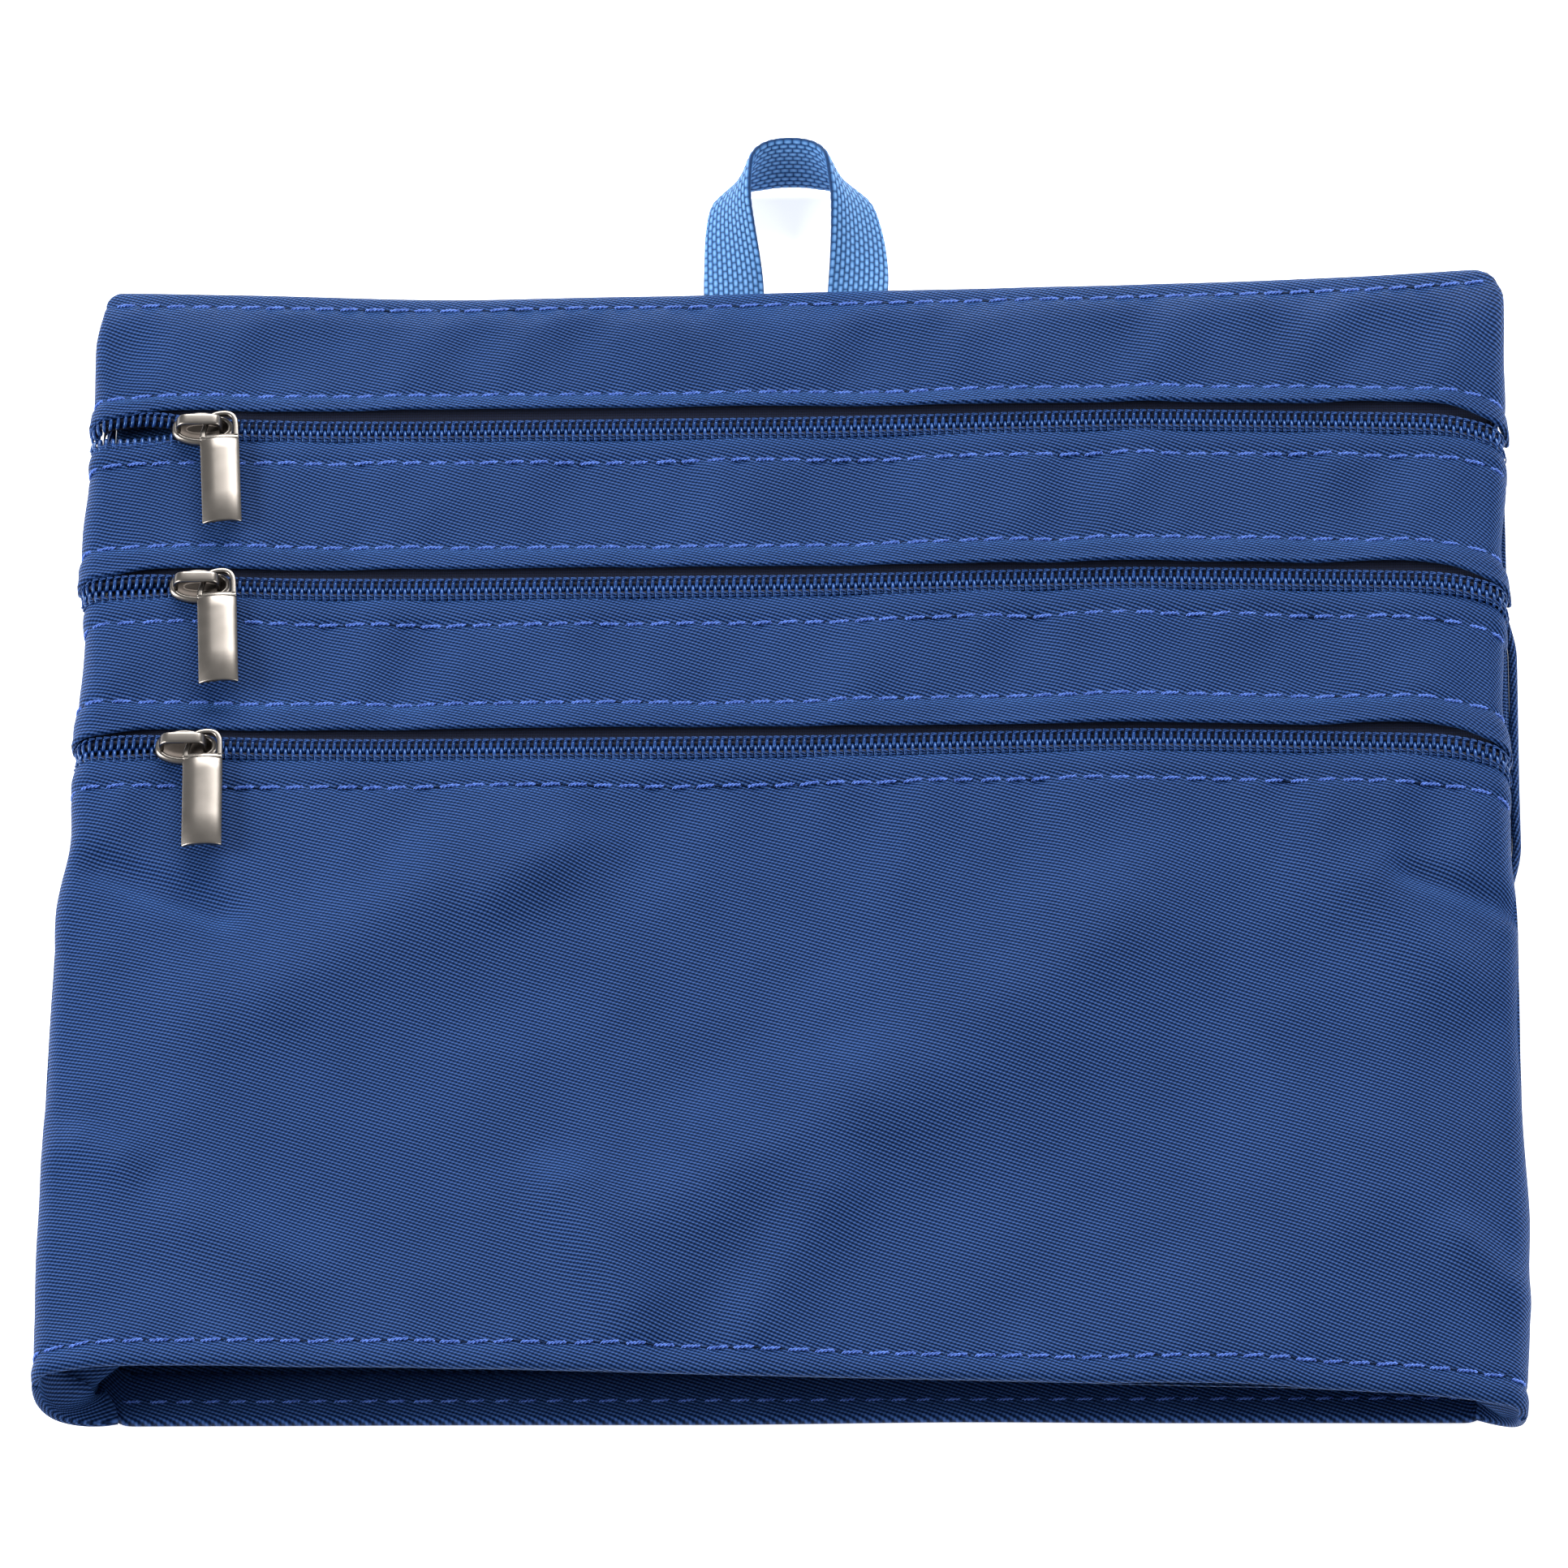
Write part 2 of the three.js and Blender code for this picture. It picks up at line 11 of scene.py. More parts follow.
import bpy
import numpy as np
from mathutils import Matrix, Vector
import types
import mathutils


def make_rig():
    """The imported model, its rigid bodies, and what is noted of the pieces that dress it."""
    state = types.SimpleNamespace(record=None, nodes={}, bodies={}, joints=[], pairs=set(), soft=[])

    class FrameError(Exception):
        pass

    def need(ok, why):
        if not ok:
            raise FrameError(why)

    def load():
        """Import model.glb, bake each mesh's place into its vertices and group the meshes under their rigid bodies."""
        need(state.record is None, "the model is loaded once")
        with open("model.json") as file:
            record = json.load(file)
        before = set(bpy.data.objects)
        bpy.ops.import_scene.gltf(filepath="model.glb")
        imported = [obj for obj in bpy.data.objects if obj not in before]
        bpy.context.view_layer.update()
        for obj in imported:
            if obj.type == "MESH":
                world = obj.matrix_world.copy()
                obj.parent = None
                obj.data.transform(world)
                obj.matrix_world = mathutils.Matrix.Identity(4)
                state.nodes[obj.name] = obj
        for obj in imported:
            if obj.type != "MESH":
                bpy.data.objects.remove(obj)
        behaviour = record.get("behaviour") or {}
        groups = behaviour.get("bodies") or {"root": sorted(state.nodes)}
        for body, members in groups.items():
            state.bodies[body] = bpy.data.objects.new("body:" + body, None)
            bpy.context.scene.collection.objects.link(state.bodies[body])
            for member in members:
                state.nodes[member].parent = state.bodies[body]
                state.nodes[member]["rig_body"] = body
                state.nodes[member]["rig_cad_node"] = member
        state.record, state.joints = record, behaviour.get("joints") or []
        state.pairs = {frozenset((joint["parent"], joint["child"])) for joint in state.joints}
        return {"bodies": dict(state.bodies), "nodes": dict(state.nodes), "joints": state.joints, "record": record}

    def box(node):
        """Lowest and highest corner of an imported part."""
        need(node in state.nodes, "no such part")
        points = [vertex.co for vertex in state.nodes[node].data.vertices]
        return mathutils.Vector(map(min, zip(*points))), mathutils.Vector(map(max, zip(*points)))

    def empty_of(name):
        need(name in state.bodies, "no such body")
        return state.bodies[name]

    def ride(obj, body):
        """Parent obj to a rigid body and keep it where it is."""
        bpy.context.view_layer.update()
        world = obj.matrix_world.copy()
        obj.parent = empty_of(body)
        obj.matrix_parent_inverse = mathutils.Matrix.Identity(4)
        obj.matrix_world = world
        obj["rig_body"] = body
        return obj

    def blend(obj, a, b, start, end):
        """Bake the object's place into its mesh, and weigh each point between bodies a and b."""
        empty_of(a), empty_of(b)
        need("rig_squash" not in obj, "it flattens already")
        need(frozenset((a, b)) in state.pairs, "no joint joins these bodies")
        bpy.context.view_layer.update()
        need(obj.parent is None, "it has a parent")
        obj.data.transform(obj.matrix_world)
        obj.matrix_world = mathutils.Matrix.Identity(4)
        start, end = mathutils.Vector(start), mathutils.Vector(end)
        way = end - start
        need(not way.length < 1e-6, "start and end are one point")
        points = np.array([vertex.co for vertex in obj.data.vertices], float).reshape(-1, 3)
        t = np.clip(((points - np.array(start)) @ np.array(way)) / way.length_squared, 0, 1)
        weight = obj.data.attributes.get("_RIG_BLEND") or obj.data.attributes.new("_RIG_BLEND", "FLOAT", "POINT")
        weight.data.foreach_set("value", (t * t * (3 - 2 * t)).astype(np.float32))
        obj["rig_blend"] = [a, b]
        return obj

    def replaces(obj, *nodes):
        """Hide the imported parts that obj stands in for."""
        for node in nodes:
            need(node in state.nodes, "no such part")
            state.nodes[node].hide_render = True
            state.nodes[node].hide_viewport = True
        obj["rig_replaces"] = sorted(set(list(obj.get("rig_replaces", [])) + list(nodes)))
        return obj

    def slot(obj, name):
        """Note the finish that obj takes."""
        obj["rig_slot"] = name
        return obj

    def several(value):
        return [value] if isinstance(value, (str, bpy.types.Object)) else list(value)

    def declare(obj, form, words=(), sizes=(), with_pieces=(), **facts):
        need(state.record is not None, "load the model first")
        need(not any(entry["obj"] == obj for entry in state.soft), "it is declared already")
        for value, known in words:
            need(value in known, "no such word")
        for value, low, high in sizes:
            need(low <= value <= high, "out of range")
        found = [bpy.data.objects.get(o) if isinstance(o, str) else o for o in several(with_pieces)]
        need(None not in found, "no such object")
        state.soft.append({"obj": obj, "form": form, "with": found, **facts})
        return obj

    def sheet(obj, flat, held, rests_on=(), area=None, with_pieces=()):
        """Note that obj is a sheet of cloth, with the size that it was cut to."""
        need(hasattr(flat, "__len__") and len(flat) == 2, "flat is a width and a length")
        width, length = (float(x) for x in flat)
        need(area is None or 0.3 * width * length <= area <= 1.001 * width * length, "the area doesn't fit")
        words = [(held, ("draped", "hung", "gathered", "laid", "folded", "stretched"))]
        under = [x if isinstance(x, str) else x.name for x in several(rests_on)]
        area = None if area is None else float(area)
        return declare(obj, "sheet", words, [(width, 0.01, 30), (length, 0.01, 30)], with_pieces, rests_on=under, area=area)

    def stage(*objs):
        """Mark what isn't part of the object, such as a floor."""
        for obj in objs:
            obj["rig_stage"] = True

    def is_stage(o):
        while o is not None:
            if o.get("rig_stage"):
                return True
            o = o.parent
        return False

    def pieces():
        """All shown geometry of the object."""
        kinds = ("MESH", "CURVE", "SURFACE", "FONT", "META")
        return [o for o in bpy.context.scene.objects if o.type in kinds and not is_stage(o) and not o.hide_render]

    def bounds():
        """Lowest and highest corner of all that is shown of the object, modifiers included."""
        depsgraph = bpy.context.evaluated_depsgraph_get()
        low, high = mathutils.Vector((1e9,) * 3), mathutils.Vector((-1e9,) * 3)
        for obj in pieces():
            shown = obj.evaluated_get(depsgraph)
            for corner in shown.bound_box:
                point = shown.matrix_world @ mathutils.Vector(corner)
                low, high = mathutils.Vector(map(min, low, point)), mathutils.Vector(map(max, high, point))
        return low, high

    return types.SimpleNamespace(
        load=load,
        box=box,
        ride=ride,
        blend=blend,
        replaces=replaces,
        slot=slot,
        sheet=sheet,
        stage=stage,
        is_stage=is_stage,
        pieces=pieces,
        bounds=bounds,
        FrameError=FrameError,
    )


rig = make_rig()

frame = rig.load()
cad_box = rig.bounds()
joints = {joint["name"]: joint for joint in frame["joints"]}

MM = 0.001
ZIPS = (1, 2, 3)

# ---- Measures taken from the frame ----
FOLD = np.array(joints["sleeve_open"]["pos_m"])
NORMAL = np.array(joints["pull_1_swivel"]["axis"])
NORMAL = NORMAL / np.linalg.norm(NORMAL)
DOWN = np.array([0.0, -NORMAL[2], NORMAL[1]])
TILT = math.asin(NORMAL[1])


def on_face(point):
    """(x, s, h) in mm of a world point."""
    offset = (np.array(point) - FOLD) / MM
    return offset[0], float(offset @ DOWN), float(offset @ NORMAL)


panel_low, panel_high = (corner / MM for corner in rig.box("lower_panel"))
back_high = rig.box("back_panel")[1] / MM
HALF = panel_high.x
LENGTH = (FOLD[1] / MM - panel_low.y) / NORMAL[2]
FACE = (panel_high.z - FOLD[2] / MM - LENGTH * NORMAL[1]) / NORMAL[2]
PIVOTS = [on_face(joints[f"pull_{n}_swivel"]["pos_m"]) for n in ZIPS]
ZIP_S = [pivot[1] for pivot in PIVOTS]
SEAM_Y = FOLD[1] / MM

# ---- Sizes of the cloth and the zippers, in mm ----
CLOTH = 0.35
LIP_UP = (4.6, 4.3, 4.3)
LIP_DOWN = 2.5
STITCH_UP = (7.3, 8.4, 9.2)
STITCH_DOWN = (6.7, 7.2, 7.5)
STITCH_TOP = 4.0
STITCH_HEM = 4.5
STITCH_PITCH = 4.3
COIL_PITCH = 1.25
COIL_CENTRE = -0.68
COIL_WIRE = 0.30  # radius of the coil's nylon wire
TAPE_H = -2.0
HEM_FOLD = 0.8
LIP_FOLD = 0.55


# ---- Smooth functions ----
def smooth(x, low, high):
    share = np.clip((x - low) / (high - low), 0, 1)
    return share * share * (3 - 2 * share)


def blunt(wave, power):
    """A sine or cosine squared off by its power, for sections between an ellipse and a box."""
    return np.sign(wave) * np.abs(wave) ** power


def soft_line(points, blur):
    """A smooth function through a few (place, value) points, rounded over blur."""
    places, values = zip(*points)
    grid = np.arange(places[0] - 4 * blur, places[-1] + 4 * blur, blur / 4)
    kernel = np.exp(-0.5 * np.linspace(-3, 3, 25) ** 2)
    rough = np.pad(np.interp(grid, places, values), 12, mode="edge")
    smoothed = np.convolve(rough, kernel / kernel.sum(), "valid")
    return lambda x: np.interp(x, grid, smoothed)


def cloud(u, v, size, seed):
    """Smooth noise from -1 to 1 with features of about size."""
    lattice = np.random.RandomState(seed).uniform(-1, 1, (97, 97))
    u, v = np.broadcast_arrays(u / size + 48.3, v / size + 48.7)
    column, row = np.floor(u).astype(int), np.floor(v).astype(int)
    fu, fv = smooth(u - column, 0, 1), smooth(v - row, 0, 1)
    corner = lambda a, b: lattice[(column + a) % 97, (row + b) % 97]
    near = corner(0, 0) * (1 - fu) + corner(1, 0) * fu
    far = corner(0, 1) * (1 - fu) + corner(1, 1) * fu
    return near * (1 - fv) + far * fv


# ---- The face: its outline, its lines and its relief ----
# How far each side runs past the plain width, down from the seam: (s, mm).
left_edge = soft_line(
    [(0, 1.7), (60, 2.2), (68, 0.9), (112, 0.8), (121, 2.7), (150, 2.6), (190, 2.0), (215, 1.3)], 3
)
right_edge = soft_line(
    [(0, -0.6), (60, -0.4), (75, -0.9), (115, -0.8), (124, 0.2), (150, 0.1), (195, 0.3), (215, -0.4)], 3
)
# How far the zippers, the hem and the seam stray from straight lines: (t, mm).
droop = soft_line(
    [(-126, 1.0), (-118, 0.0), (-110, -0.5), (-100, -0.5), (-85, 0.2), (-66, 0.4), (2, 0.0), (57, -1.2),
     (85, -0.5), (98, -0.1), (106, 0.1), (112, 0.7), (118, 3.0), (122, 4.6), (126, 5.6)], 3,
)
hem_swing = soft_line(
    [(-126, 0.6), (-119, -0.6), (-112, -1.6), (-100, -1.8), (-60, -1.0), (5, 0.4), (57, 1.4), (100, 2.6),
     (109, 3.2), (116, 4.2), (124, 5.4)], 4,
)
seam_swing = soft_line(
    [(-122, -2.2), (-92, -1.3), (-63, 0.3), (-24, -0.3), (0, -1.1), (33, -1.6), (75, -2.5), (103, -3.9),
     (118, -4.9)], 8,
)
CORNER_LEFT = 4.5
CORNER_RIGHT = 6.5
SEAM_LEVEL = 1.7
SEAM_ROUND = 1.5


def level(s):
    """Height of the face's surface over the fold line."""
    rise = SEAM_LEVEL + (FACE - SEAM_LEVEL) * smooth(s, -3, 9)
    short = np.clip(SEAM_ROUND - s, 0, SEAM_ROUND) / SEAM_ROUND
    return rise * np.sqrt(np.clip(1 - short * short, 0, 1))


def side_round(s):
    """Radius of the wrapped sides."""
    return 1.2 + 2.0 * smooth(s, 0, 30)


SHOULDER_WIDE = 22  # how far in from the rounded side the face starts to sink


def shoulder(s):
    """How far the lower panel sinks towards its wrapped sides."""
    return 1.7 * smooth(s, ZIP_S[2] + 4, ZIP_S[2] + 30) * (1 - 0.6 * smooth(s, LENGTH - 14, LENGTH - 2))


def half_width(t, s):
    """Half width of the face, with its rounded corners at the seam."""
    radius = np.where(t < 0, CORNER_LEFT, CORNER_RIGHT)
    short = np.clip(radius - s, 0, radius)
    corner = radius - np.sqrt(radius * radius - short * short)
    return HALF + np.where(t < 0, left_edge(s), right_edge(s)) - corner


def reach(t, s):
    """Arc length from the middle of the face to the lower edge of its side."""
    radius = side_round(s)
    wall = np.maximum(level(s) - radius + 0.5 - shoulder(s), 0.2)
    return half_width(t, s) - radius + radius * math.pi / 2 + wall


def to_world(x, s, h):
    """World places, in metres, of flat face coordinates in mm."""
    x, s, h = np.broadcast_arrays(x, s, h)
    return FOLD + MM * (
        x[..., None] * np.array([1.0, 0.0, 0.0]) + s[..., None] * DOWN + h[..., None] * NORMAL
    )


def mouth_lift(t, s):
    """How far the open hem lifts off (or sinks below) the face's plain wedge."""
    return smooth(s, 60, LENGTH) * np.interp(t, [-120, -60, 40, 120], [0.9, 1.2, -0.4, -2.4])


def wrap(t, s, h):
    """World places of points at t and s, h over the face's surface."""
    t, s, h = np.broadcast_arrays(np.asarray(t, float), s, h)
    radius = side_round(s)
    flat = half_width(t, s) - radius
    out = np.abs(t)
    angle = np.clip((out - flat) / radius, 0, math.pi / 2)
    below = np.maximum(out - flat - radius * math.pi / 2, 0)
    x = np.minimum(out, flat) + (radius + h) * np.sin(angle)
    z = level(s) - radius + (radius + h) * np.cos(angle) - below
    z = z - shoulder(s) * np.clip((out - flat + SHOULDER_WIDE) / SHOULDER_WIDE, 0, 1) ** 2
    swing = seam_swing(t) * (1 - smooth(s, 0, 18)) + hem_swing(t) * smooth(s, 120, LENGTH)
    return to_world(np.sign(t) * x, s + swing, z + mouth_lift(t, s))


def zip_line(index, t):
    return ZIP_S[index] + droop(t)


def top_line(t):
    return STITCH_TOP + 0 * t


def hem_line(t):
    return LENGTH - STITCH_HEM + 0.25 * np.sin(t / 23)


def stitch_above(index, t):
    return zip_line(index, t) - STITCH_UP[index] + 0.15 * np.sin(t / 31 + index)


def stitch_below(index, t):
    return zip_line(index, t) + STITCH_DOWN[index] + 0.15 * np.sin(t / 27 + 2 * index)


# Long soft folds in the cloth: two ends (t, s), half width and relative height.
FOLD_STRENGTH = 1.35
FOLDS = [
    (-97, 150, -40, 112, 11, 2.2),
    (-52, 128, -30, 112, 5, 0.9),
    (-28, 190, 20, 160, 12, 1.9),
    (20, 160, 62, 122, 14, 1.8),
    (-38, 178, -22, 208, 6, 1.5),
    (-6, 208, 10, 178, 6, 1.4),
    (62, 212, 110, 168, 16, 1.6),
    (92, 118, 112, 142, 7, 1.3),
    (-100, 185, -78, 200, 7, 1.0),
    (-118, 116, -92, 128, 3.5, -1.3),
    (-119, 170, -106, 178, 4, 1.0),
    (108, 185, 119, 196, 4, 0.9),
    (100, 119, 121, 126, 2.6, -1.1),
]


def fold_height(t, s, fold):
    """Height that one fold adds, rounded off past its ends."""
    t0, s0, t1, s1, width, height = fold
    length = math.hypot(t1 - t0, s1 - s0)
    along = ((t - t0) * (t1 - t0) + (s - s0) * (s1 - s0)) / length
    across = ((t - t0) * (s1 - s0) - (s - s0) * (t1 - t0)) / length
    ends = smooth(along, -width, width) * (1 - smooth(along, length - width, length + width))
    return FOLD_STRENGTH * height * ends * np.exp(-((across / width) ** 2))


def groove(distance, width=0.75, depth=0.3):
    """The dent that a stitched line pulls into the cloth."""
    return -depth * np.exp(-((distance / width) ** 2))


def puckers(t, distance, seed):
    """Ripples across a stitched line, fading away from it."""
    fade = np.exp(-np.abs(distance) / 6.0)
    tight = np.exp(-np.abs(distance) / 1.6)
    pulled = 0.08 * tight * np.cos(2 * math.pi * t / STITCH_PITCH)
    return 0.34 * fade * cloud(t, 0 * t, 4.6, seed) + pulled


def relief(t, s):
    """Height of the cloth over the face's plain surface."""
    t, s = np.broadcast_arrays(np.asarray(t, float), s)
    total = 0.55 * cloud(t + 0.6 * s, 0.6 * s, 27, 3) + 0.2 * cloud(t + 0.4 * s, s, 11, 5)
    streaks = cloud(t + 0.25 * s, s / 3.2, 8.5, 11)
    bands = smooth(s, 5, 12) * (1 - smooth(s, ZIP_S[2] + 12, ZIP_S[2] + 40))
    total = total + 1.0 * streaks * bands
    for fold in FOLDS:
        total = total + fold_height(t, s, fold)
    for index in range(3):
        above, below = s - stitch_above(index, t), s - stitch_below(index, t)
        q = s - zip_line(index, t)
        near_zip = np.exp(-(((q + 1) / 9.0) ** 4))
        total = total * (1 - 0.7 * near_zip) + groove(above) + groove(below)
        total = total + puckers(t, above, 20 + index) * (above < 0)
        total = total + puckers(t, below, 30 + index) * (below > 0)
        rise = np.clip(above / (STITCH_UP[index] - LIP_UP[index]), 0, 1.3) * (q < 0)
        lift = 0.5 + 0.55 * smooth(t, -95, -60) - 0.5 * smooth(t, 100, 118)
        total = total + rise**1.5 * lift + 0.32 * np.sin(math.pi * np.clip(rise, 0, 1)) ** 0.8
        sink = np.clip(-below / (STITCH_DOWN[index] - LIP_DOWN), 0, 1) * (q > 0)
        total = total + 0.35 * np.sin(math.pi * sink) ** 0.8 - 0.1 * sink
    top, hem = s - top_line(t), s - hem_line(t)
    total = total + groove(top) + puckers(t, top, 41) * (top > 0)
    total = total + groove(hem) + puckers(t, hem, 42)
    total = total + 0.25 * np.exp(-((hem - 2.6) ** 2) / 2.2)
    return total * smooth(s, -1, 2.5)


# ---- Mesh making ----
def set_uv(mesh, uv):
    layer = mesh.uv_layers.new(name="cloth")
    corners = np.zeros(len(mesh.loops), np.int32)
    mesh.loops.foreach_get("vertex_index", corners)
    layer.data.foreach_set("uv", np.asarray(uv, np.float32).reshape(-1, 2)[corners].ravel())


def new_object(name, points, faces, uv=None):
    """An object from points in metres, lists of point numbers and, for each point, its uv in mm."""
    mesh = bpy.data.meshes.new(name)
    mesh.from_pydata(np.asarray(points, float).reshape(-1, 3).tolist(), [], faces)
    mesh.update()
    mesh.shade_smooth()
    if uv is not None:
        set_uv(mesh, uv)
    obj = bpy.data.objects.new(name, mesh)
    bpy.context.scene.collection.objects.link(obj)
    return obj


def grid_faces(rows, columns, wrap_columns=False, flip=False):
    """The quads between rows x columns of points."""
    across = np.arange(columns if wrap_columns else columns - 1)
    down = np.arange(rows - 1)
    r, c = np.meshgrid(down, across, indexing="ij")
    r1, c1 = (r + 1) % rows, (c + 1) % columns
    quads = np.stack([r * columns + c, r1 * columns + c, r1 * columns + c1, r * columns + c1], -1)
    quads = quads.reshape(-1, 4)
    return (quads[:, ::-1] if flip else quads).tolist()


def thicken(obj, thickness, offset=-1.0):
    solid = obj.modifiers.new("thickness", "SOLIDIFY")
    solid.thickness = thickness * MM
    solid.offset = offset
    solid.use_even_offset = False
    solid.use_quality_normals = True
    apply_modifiers(obj)
    return obj


def apply_modifiers(obj):
    depsgraph = bpy.context.evaluated_depsgraph_get()
    mesh = bpy.data.meshes.new_from_object(obj.evaluated_get(depsgraph))
    old = obj.data
    obj.modifiers.clear()
    obj.data = mesh
    mesh.name = obj.name
    bpy.data.meshes.remove(old)


def dress(obj, surface, body=None, replaces=(), slot=None):
    obj.data.materials.clear()
    obj.data.materials.append(surface)
    if body:
        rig.ride(obj, body)
    if replaces:
        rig.replaces(obj, *replaces)
    if slot:
        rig.slot(obj, slot)
    return obj


def joined(name, *objects):
    with bpy.context.temp_override(
        active_object=objects[0], selected_editable_objects=list(objects), selected_objects=list(objects)
    ):
        bpy.ops.object.join()
    objects[0].name = name
    return objects[0]


def strand_mesh(name, paths, radius, sides=6, flatten=1.0, place=None):
    """Tubes along paths of (t, s, h) points that run mainly along t, mapped by place()."""
    paths = np.asarray(paths, float)
    count, steps = paths.shape[:2]
    around = np.arange(sides) / sides * 2 * math.pi
    ring = np.stack([0 * around, np.cos(around), flatten * np.sin(around)], -1) * radius
    rings = paths[:, :, None, :] + ring[None, None]
    points = (place or wrap)(rings[..., 0], rings[..., 1], rings[..., 2])
    return tube_object(name, points)


def tube_object(name, points, uv=None):
    """One object from an array of tubes: count x steps x sides x 3, each with its ends closed."""
    count, steps, sides = points.shape[:3]
    body = np.array(grid_faces(steps, sides, wrap_columns=True))
    offsets = np.arange(count) * steps * sides
    quads = (body[None] + offsets[:, None, None]).reshape(-1, 4).tolist()
    first = (np.arange(sides)[None] + offsets[:, None]).tolist()
    last = ((steps - 1) * sides + np.arange(sides)[::-1][None] + offsets[:, None]).tolist()
    return new_object(name, points, quads + first + last, uv)


# ---- Materials ----
class Nodes:
    """Short hand for building a material's node tree."""

    def __init__(self, name):
        self.material = bpy.data.materials.new(name)
        self.material.use_nodes = True
        self.tree = self.material.node_tree
        self.shader = self.tree.nodes["Principled BSDF"]

    def add(self, kind, **settings):
        node = self.tree.nodes.new(kind)
        for key, value in settings.items():
            setattr(node, key, value)
        return node

    def link(self, source, target):
        self.tree.links.new(source, target)

    def math(self, operation, first, second=None):
        node = self.add("ShaderNodeMath", operation=operation)
        for socket, value in zip(node.inputs, (first, second)):
            if value is None:
                continue
            if isinstance(value, (int, float)):
                socket.default_value = value
            else:
                self.link(value, socket)
        return node.outputs[0]

    def uv(self):
        separate = self.add("ShaderNodeSeparateXYZ")
        self.link(self.add("ShaderNodeTexCoord").outputs["UV"], separate.inputs[0])
        return separate.outputs[0], separate.outputs[1]

    def place(self):
        return self.add("ShaderNodeTexCoord").outputs["Object"]

    def noise(self, vector, scale, detail=2.0):
        node = self.add("ShaderNodeTexNoise")
        node.inputs["Scale"].default_value = scale
        node.inputs["Detail"].default_value = detail
        self.link(vector, node.inputs["Vector"])
        return node.outputs[0]

    def ramp(self, value, stops):
        node = self.add("ShaderNodeValToRGB")
        elements = node.color_ramp.elements
        while len(elements) < len(stops):
            elements.new(0.5)
        for element, (place, color) in zip(elements, stops):
            element.position = place
            element.color = (*color, 1)
        self.link(value, node.inputs[0])
        return node.outputs[0]

    def mix(self, share, first, second):
        node = self.add("ShaderNodeMix", data_type="RGBA")
        for socket, value in zip((node.inputs[0], node.inputs[6], node.inputs[7]), (share, first, second)):
            if isinstance(value, float):
                socket.default_value = value
            elif isinstance(value, tuple):
                socket.default_value = (*value, 1)
            else:
                self.link(value, socket)
        return node.outputs[2]

    def bump(self, height, strength, distance):
        node = self.add("ShaderNodeBump")
        node.inputs["Strength"].default_value = strength
        node.inputs["Distance"].default_value = distance
        self.link(height, node.inputs["Height"])
        self.link(node.outputs[0], self.shader.inputs["Normal"])

    def set(self, **sockets):
        for name, value in sockets.items():
            socket = self.shader.inputs[name.replace("_", " ")]
            if isinstance(value, (int, float)):
                socket.default_value = value
            elif isinstance(value, tuple):
                socket.default_value = (*value, 1)
            else:
                self.link(value, socket)


def twill_material(name, dark, mid, light, pitch=0.62, sheen=0.25):
    """Fine satin twill: slanting ribs made of short floats, from UVs in millimetres."""
    n = Nodes(name)
    u, v = n.uv()
    turn = 2 * math.pi / pitch
    ribs = n.math("ADD", n.math("MULTIPLY", u, -0.33 * turn), n.math("MULTIPLY", v, 0.944 * turn))
    floats = n.math("ADD", n.math("MULTIPLY", u, 0.86 * turn), n.math("MULTIPLY", v, 0.5 * turn))
    wave = n.math("ADD", n.math("SINE", ribs), n.math("MULTIPLY", n.math("SINE", floats), 0.4))
    height = n.math("MULTIPLY_ADD", wave, 0.355)
    height.node.inputs[2].default_value = 0.5
    cloudy = n.noise(n.place(), 60.0)
    tone = n.math("ADD", n.math("MULTIPLY", height, 0.85), n.math("MULTIPLY", cloudy, 0.15))
    n.set(Base_Color=n.ramp(tone, [(0.2, dark), (0.5, mid), (0.85, light)]))
    n.set(Roughness=n.math("SUBTRACT", 0.60, n.math("MULTIPLY", height, 0.14)))
    n.set(Specular_IOR_Level=0.2, Specular_Tint=(0.15, 0.4, 1.0))
    n.set(Sheen_Weight=sheen, Sheen_Roughness=0.32, Sheen_Tint=(0.12, 0.36, 1.0))
    n.bump(height, 1.0, 0.0002)
    return n.material


def thread_material(name, dark, light, gloss=0.5):
    """Shiny twisted thread, with uneven colour along it."""
    n = Nodes(name)
    speck = n.noise(n.place(), 1800.0)
    n.set(Base_Color=n.ramp(speck, [(0.3, dark), (0.7, light)]), Roughness=0.38)
    n.set(Sheen_Weight=0.2, Sheen_Tint=(0.15, 0.4, 1.0))
    n.set(Specular_IOR_Level=gloss, Specular_Tint=(0.4, 0.65, 1.0))
    n.bump(speck, 0.3, 0.00005)
    return n.material


def coil_material(name, dark, light):
    n = Nodes(name)
    tint = n.noise(n.place(), 350.0)
    n.set(Base_Color=n.ramp(tint, [(0.3, dark), (0.75, light)]), Roughness=0.26)
    n.set(Specular_IOR_Level=0.8, Specular_Tint=(0.35, 0.62, 1.0))
    n.bump(n.noise(n.place(), 2500.0), 0.15, 0.00003)
    return n.material


def tape_material(name, dark, light):
    """Woven zipper tape with fine lengthwise cords."""
    n = Nodes(name)
    u, v = n.uv()
    cords = n.math("SINE", n.math("MULTIPLY", v, 2 * math.pi / 0.55))
    picks = n.math("SINE", n.math("MULTIPLY", u, 2 * math.pi / 0.4))
    height = n.math("ADD", n.math("MULTIPLY", cords, 0.3), n.math("MULTIPLY", picks, 0.2))
    shifted = n.math("ADD", height, 0.5)
    n.set(Base_Color=n.ramp(shifted, [(0.1, dark), (0.9, light)]), Roughness=0.75)
    n.bump(shifted, 0.5, 0.0001)
    return n.material


